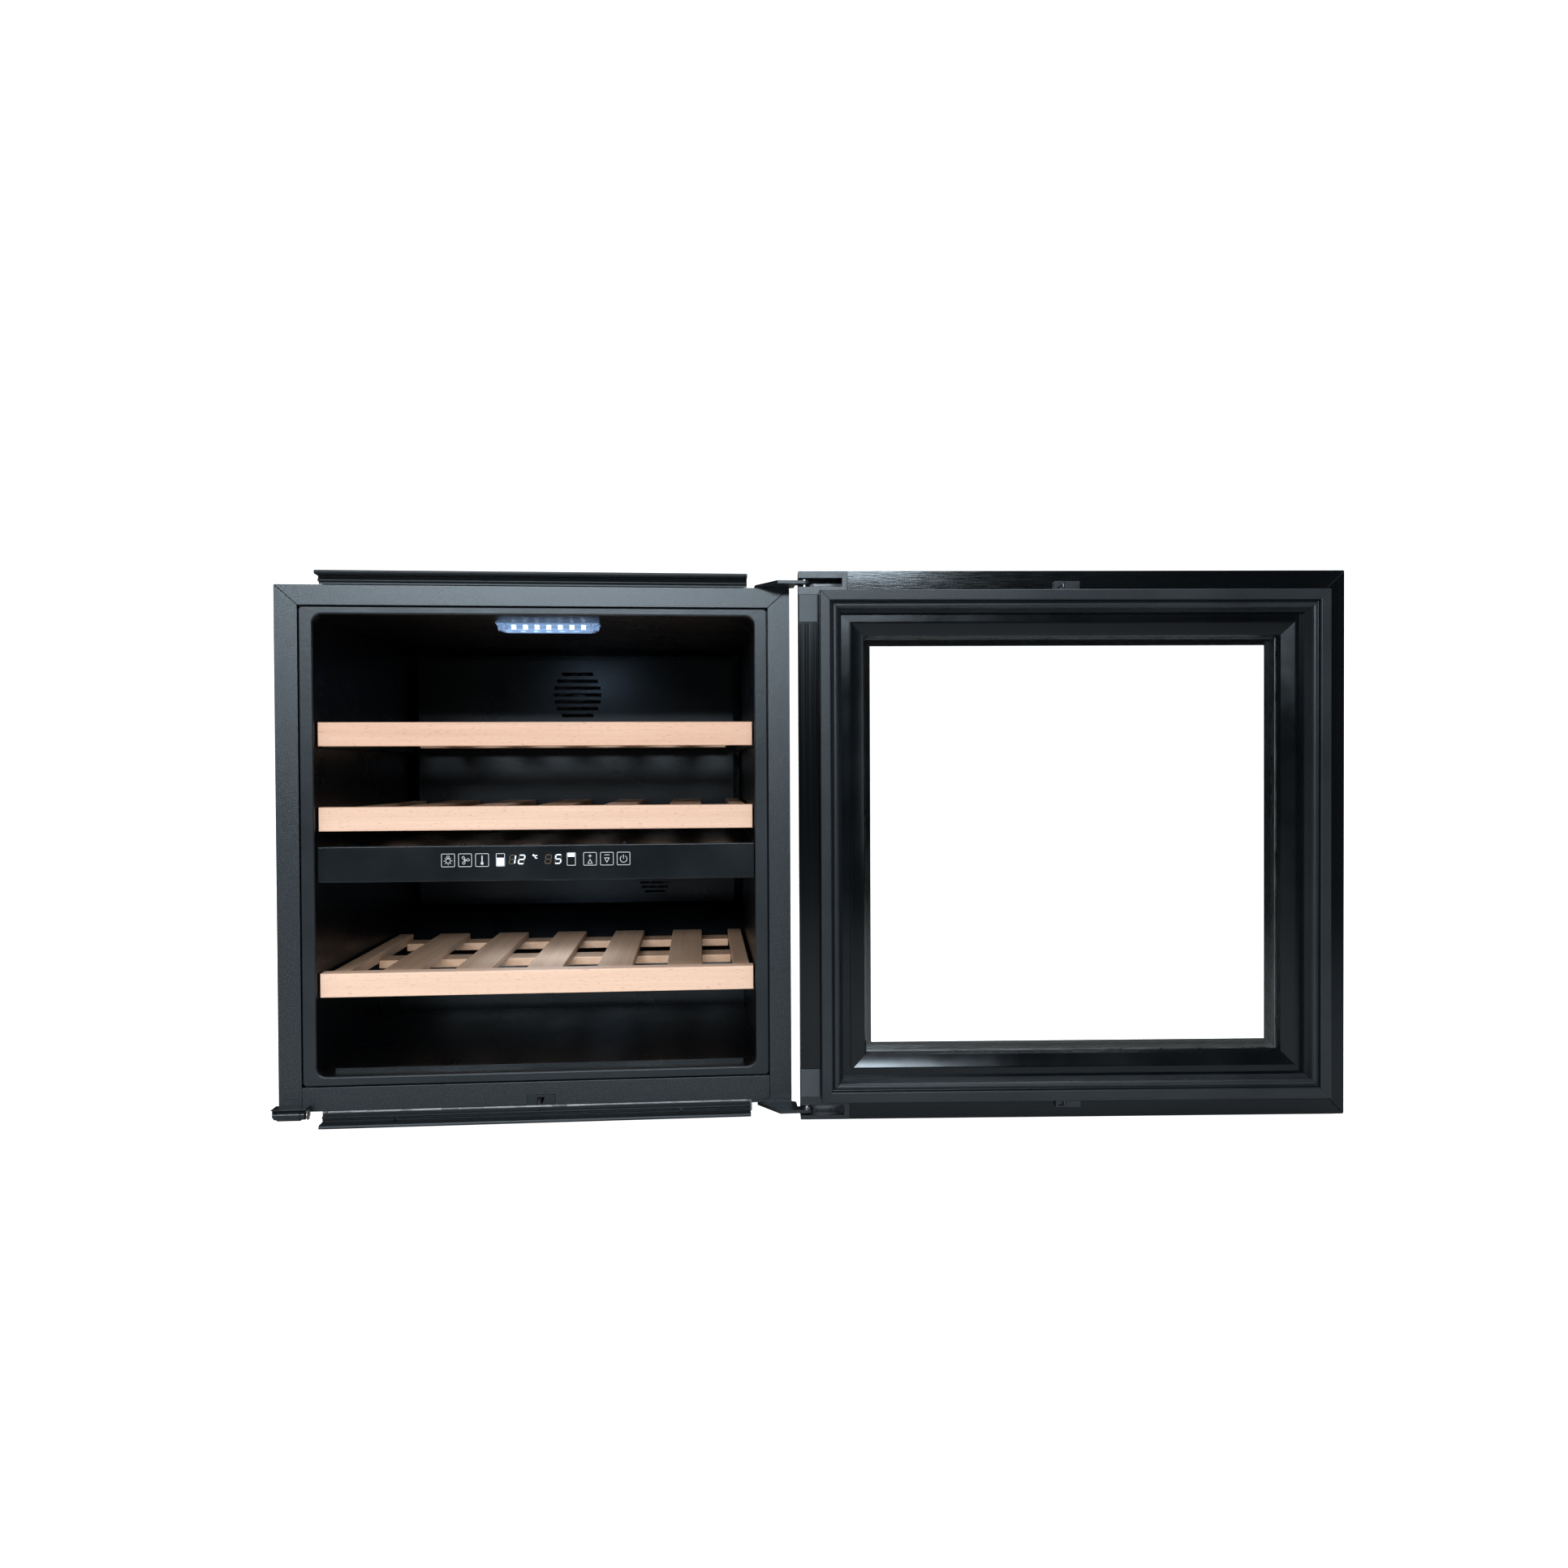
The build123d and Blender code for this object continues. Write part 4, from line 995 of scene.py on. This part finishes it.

# %% [markdown]
# The spacer between the panes holds drying beads, and tiny holes along its inner wall let them work. Each
# hole is a thin black disc on the wall: painted shade where the hole shows dark.

# %% Spacer holes
HOLE = [(0, 0), (0, 0.45), (0.12, 0.45), (0.12, 0)]
HOLES, PITCH = 109, 4.0
SPACER_MARGIN, SPACER_Y = 72.5, -32
DOOR_MIDDLE = (DOOR_LOW + DOOR_HIGH) / 2
holes = bmesh.new()
for k in range(HOLES):
    run = (k - HOLES // 2) * PITCH
    z = DOOR_MIDDLE + run
    for x in (HALF_DOOR - SPACER_MARGIN, -HALF_DOOR + SPACER_MARGIN):
        inward = on_door(-x, 0, z) - on_door(x, 0, z)
        turned(holes, HOLE, on_door(x, SPACER_Y, z), inward, 8)
    for z, inward in ((DOOR_HIGH - SPACER_MARGIN, DOWN), (DOOR_LOW + SPACER_MARGIN, UP)):
        turned(holes, HOLE, on_door(run, SPACER_Y, z), inward, 8)
# Painted shade: black discs where the holes show dark.
add_piece("spacer_hole_shade_discs", holes, PRINT_AND_HOLE_SHADE, "door", 30)

# %% [markdown]
# ## Finishes on the drawn parts that stay
# The machinery deep inside keeps its drawn shape, and each part of it only gets the finish of its real
# material.

# %% Carried-over parts
for node, material in (
    ("hinge_pins", PIN_STEEL),
    ("hinge_bushes", NYLON),
    ("lamp_covers", LAMP_ACRYLIC),
    ("lamp_boards", LAMP_BOARD),
    ("display_board", CIRCUIT),
    ("evaporators", ALUMINIUM),
    ("compressor", ENAMEL),
    ("condenser_coil", ALUMINIUM),
    ("condenser_fan_shroud", FAN_PLASTIC),
    ("refrigerant_pipes", COPPER),
    ("drain_pan", TRAY),
    ("power_box", TRAY),
    ("power_inlet", RUNNER),
):
    for index in range(len(nodes[node].data.materials)):
        nodes[node].data.materials[index] = material

# %% [markdown]
# ## Camera, floor and light
# The cooler is seen from a little right of centre and slightly above the middle of its height, through a
# fairly wide lens. The floor is a plain pale disc. One soft light stands high in front on the left, one
# hangs overhead, and the sky is an even white for matt surfaces but dim for glossy ones, which also mirror
# only the floor close by. A photographer gets the same with black cards round a glossy black product.

# %% Camera
CAMERA_AT = Vector((0.175, -1.4536, 0.3841))
CAMERA_YAW, CAMERA_PITCH, CAMERA_ROLL = math.radians(4.51), math.radians(-0.70), math.radians(-0.29)
level_share = math.cos(CAMERA_PITCH)
ahead = Vector((math.sin(CAMERA_YAW) * level_share, math.cos(CAMERA_YAW) * level_share,
                math.sin(CAMERA_PITCH)))
level_right = Vector((math.cos(CAMERA_YAW), -math.sin(CAMERA_YAW), 0))
level_up = level_right.cross(ahead)
right = level_right * math.cos(CAMERA_ROLL) + level_up * math.sin(CAMERA_ROLL)
up = right.cross(ahead)
camera = bpy.data.objects.new("camera", bpy.data.cameras.new("camera"))
camera.data.lens, camera.data.sensor_width = 24.813, 36
camera.matrix_world = Matrix.Translation(CAMERA_AT) @ Matrix((right, up, -ahead)).transposed().to_4x4()
bpy.context.scene.collection.objects.link(camera)
bpy.context.scene.camera = camera
print("camera stands", round(FRONT - CAMERA_AT.y, 2), "m from the frame")

# %% Floor
disc = bmesh.new()
bmesh.ops.create_circle(disc, cap_ends=True, segments=96, radius=40)
floor_mesh = bpy.data.meshes.new("floor")
disc.to_mesh(floor_mesh)
disc.free()
FLOOR_WHITE = finish("floor_white", (0.88, 0.88, 0.88), 0.9,
                     Specular_IOR_Level=0.1, Emission_Color=(1, 1, 1, 1))
floor_rays = add_node(FLOOR_WHITE, "ShaderNodeLightPath")
in_gloss, in_view = floor_rays.outputs["Is Glossy Ray"], floor_rays.outputs["Is Camera Ray"]
paper = shades(FLOOR_WHITE, grain(FLOOR_WHITE, 2, 3), (0.3, (0.86, 0.86, 0.86)), (0.7, (0.9, 0.9, 0.9)))
floor_place = add_node(FLOOR_WHITE, "ShaderNodeTexCoord")
how_far = add_node(FLOOR_WHITE, "ShaderNodeVectorMath", operation="LENGTH")
wire(FLOOR_WHITE, floor_place.outputs["Object"], how_far.inputs[0])
far_share = between(FLOOR_WHITE, how_far.outputs["Value"], 0.0, 1.0, 0.9, 2.4)
mirrored = shades(FLOOR_WHITE, far_share, (0.0, (0.4, 0.4, 0.4)), (1.0, (0.02, 0.02, 0.02)))
set_from(FLOOR_WHITE, "Base Color", blended(FLOOR_WHITE, in_gloss, paper, mirrored))
own_light = add_node(FLOOR_WHITE, "ShaderNodeMath", operation="ADD")
wire(FLOOR_WHITE, between(FLOOR_WHITE, in_gloss, 0.35, 0.0, 0, 1), own_light.inputs[0])
wire(FLOOR_WHITE, between(FLOOR_WHITE, in_view, 0.0, 0.7, 0, 1), own_light.inputs[1])
set_from(FLOOR_WHITE, "Emission Strength", own_light.outputs["Value"])
floor_mesh.materials.append(FLOOR_WHITE)
floor = bpy.data.objects.new("floor", floor_mesh)
bpy.context.scene.collection.objects.link(floor)
floor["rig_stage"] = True


# %% Light
def soft_light(name, where, aim, width, height, watts, colour=(1, 1, 1)):
    lamp = bpy.data.lights.new(name, "AREA")
    lamp.shape, lamp.size, lamp.size_y, lamp.energy, lamp.color = "RECTANGLE", width, height, watts, colour
    holder = bpy.data.objects.new(name, lamp)
    holder.location = where
    holder.rotation_euler = (Vector(aim) - Vector(where)).to_track_quat("-Z", "Y").to_euler()
    holder.visible_camera = False
    bpy.context.scene.collection.objects.link(holder)
    return holder


soft_light("window", (-0.65, -4.9, 1.85), (-0.1, -0.26, 0.5), 2.9, 0.6, 165, (0.92, 0.97, 1))
soft_light("side_window", (3.9, -3.2, 0.6), (0.4, -0.3, 0.4), 0.6, 1.4, 7, (0.9, 0.96, 1))
soft_light("overhead", (0.2, -0.4, 3.4), (0.2, -0.3, 0), 3.0, 3.0, 95)
for name, z in (("lamp_glow_upper", 0.546), ("lamp_glow_lower", 0.256)):
    soft_light(name, (0, FRONT + 0.099, z), (0, FRONT + 0.16, 0), 0.1, 0.02, 0.16, (0.6, 0.78, 1))

# %% Sky, bright in view and dim in reflections
sky = bpy.data.worlds.new("sky")
bpy.context.scene.world = sky
sky.use_nodes = True
SKY_ON_MATT, SKY_SEEN, SKY_IN_GLOSS = 0.46, 1.3, 0.02
background = sky.node_tree.nodes["Background"]
background.inputs["Color"].default_value = (0.96, 0.985, 1.0, 1)
rays = sky.node_tree.nodes.new("ShaderNodeLightPath")
level = None
for ray, value in (("Is Camera Ray", SKY_SEEN), ("Is Glossy Ray", SKY_IN_GLOSS)):
    step = sky.node_tree.nodes.new("ShaderNodeMix")
    step.inputs["A"].default_value, step.inputs["B"].default_value = SKY_ON_MATT, value
    if level:
        sky.node_tree.links.new(level, step.inputs["A"])
    sky.node_tree.links.new(rays.outputs[ray], step.inputs["Factor"])
    level = step.outputs["Result"]
sky.node_tree.links.new(level, background.inputs["Strength"])
bpy.context.scene.view_settings.view_transform = "Standard"

# %% [markdown]
# ## Sizes
# The finished cooler should stay as large as its drawing. Here the box round it is measured.

# %% Measure the finished cooler's box
import json

low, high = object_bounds()
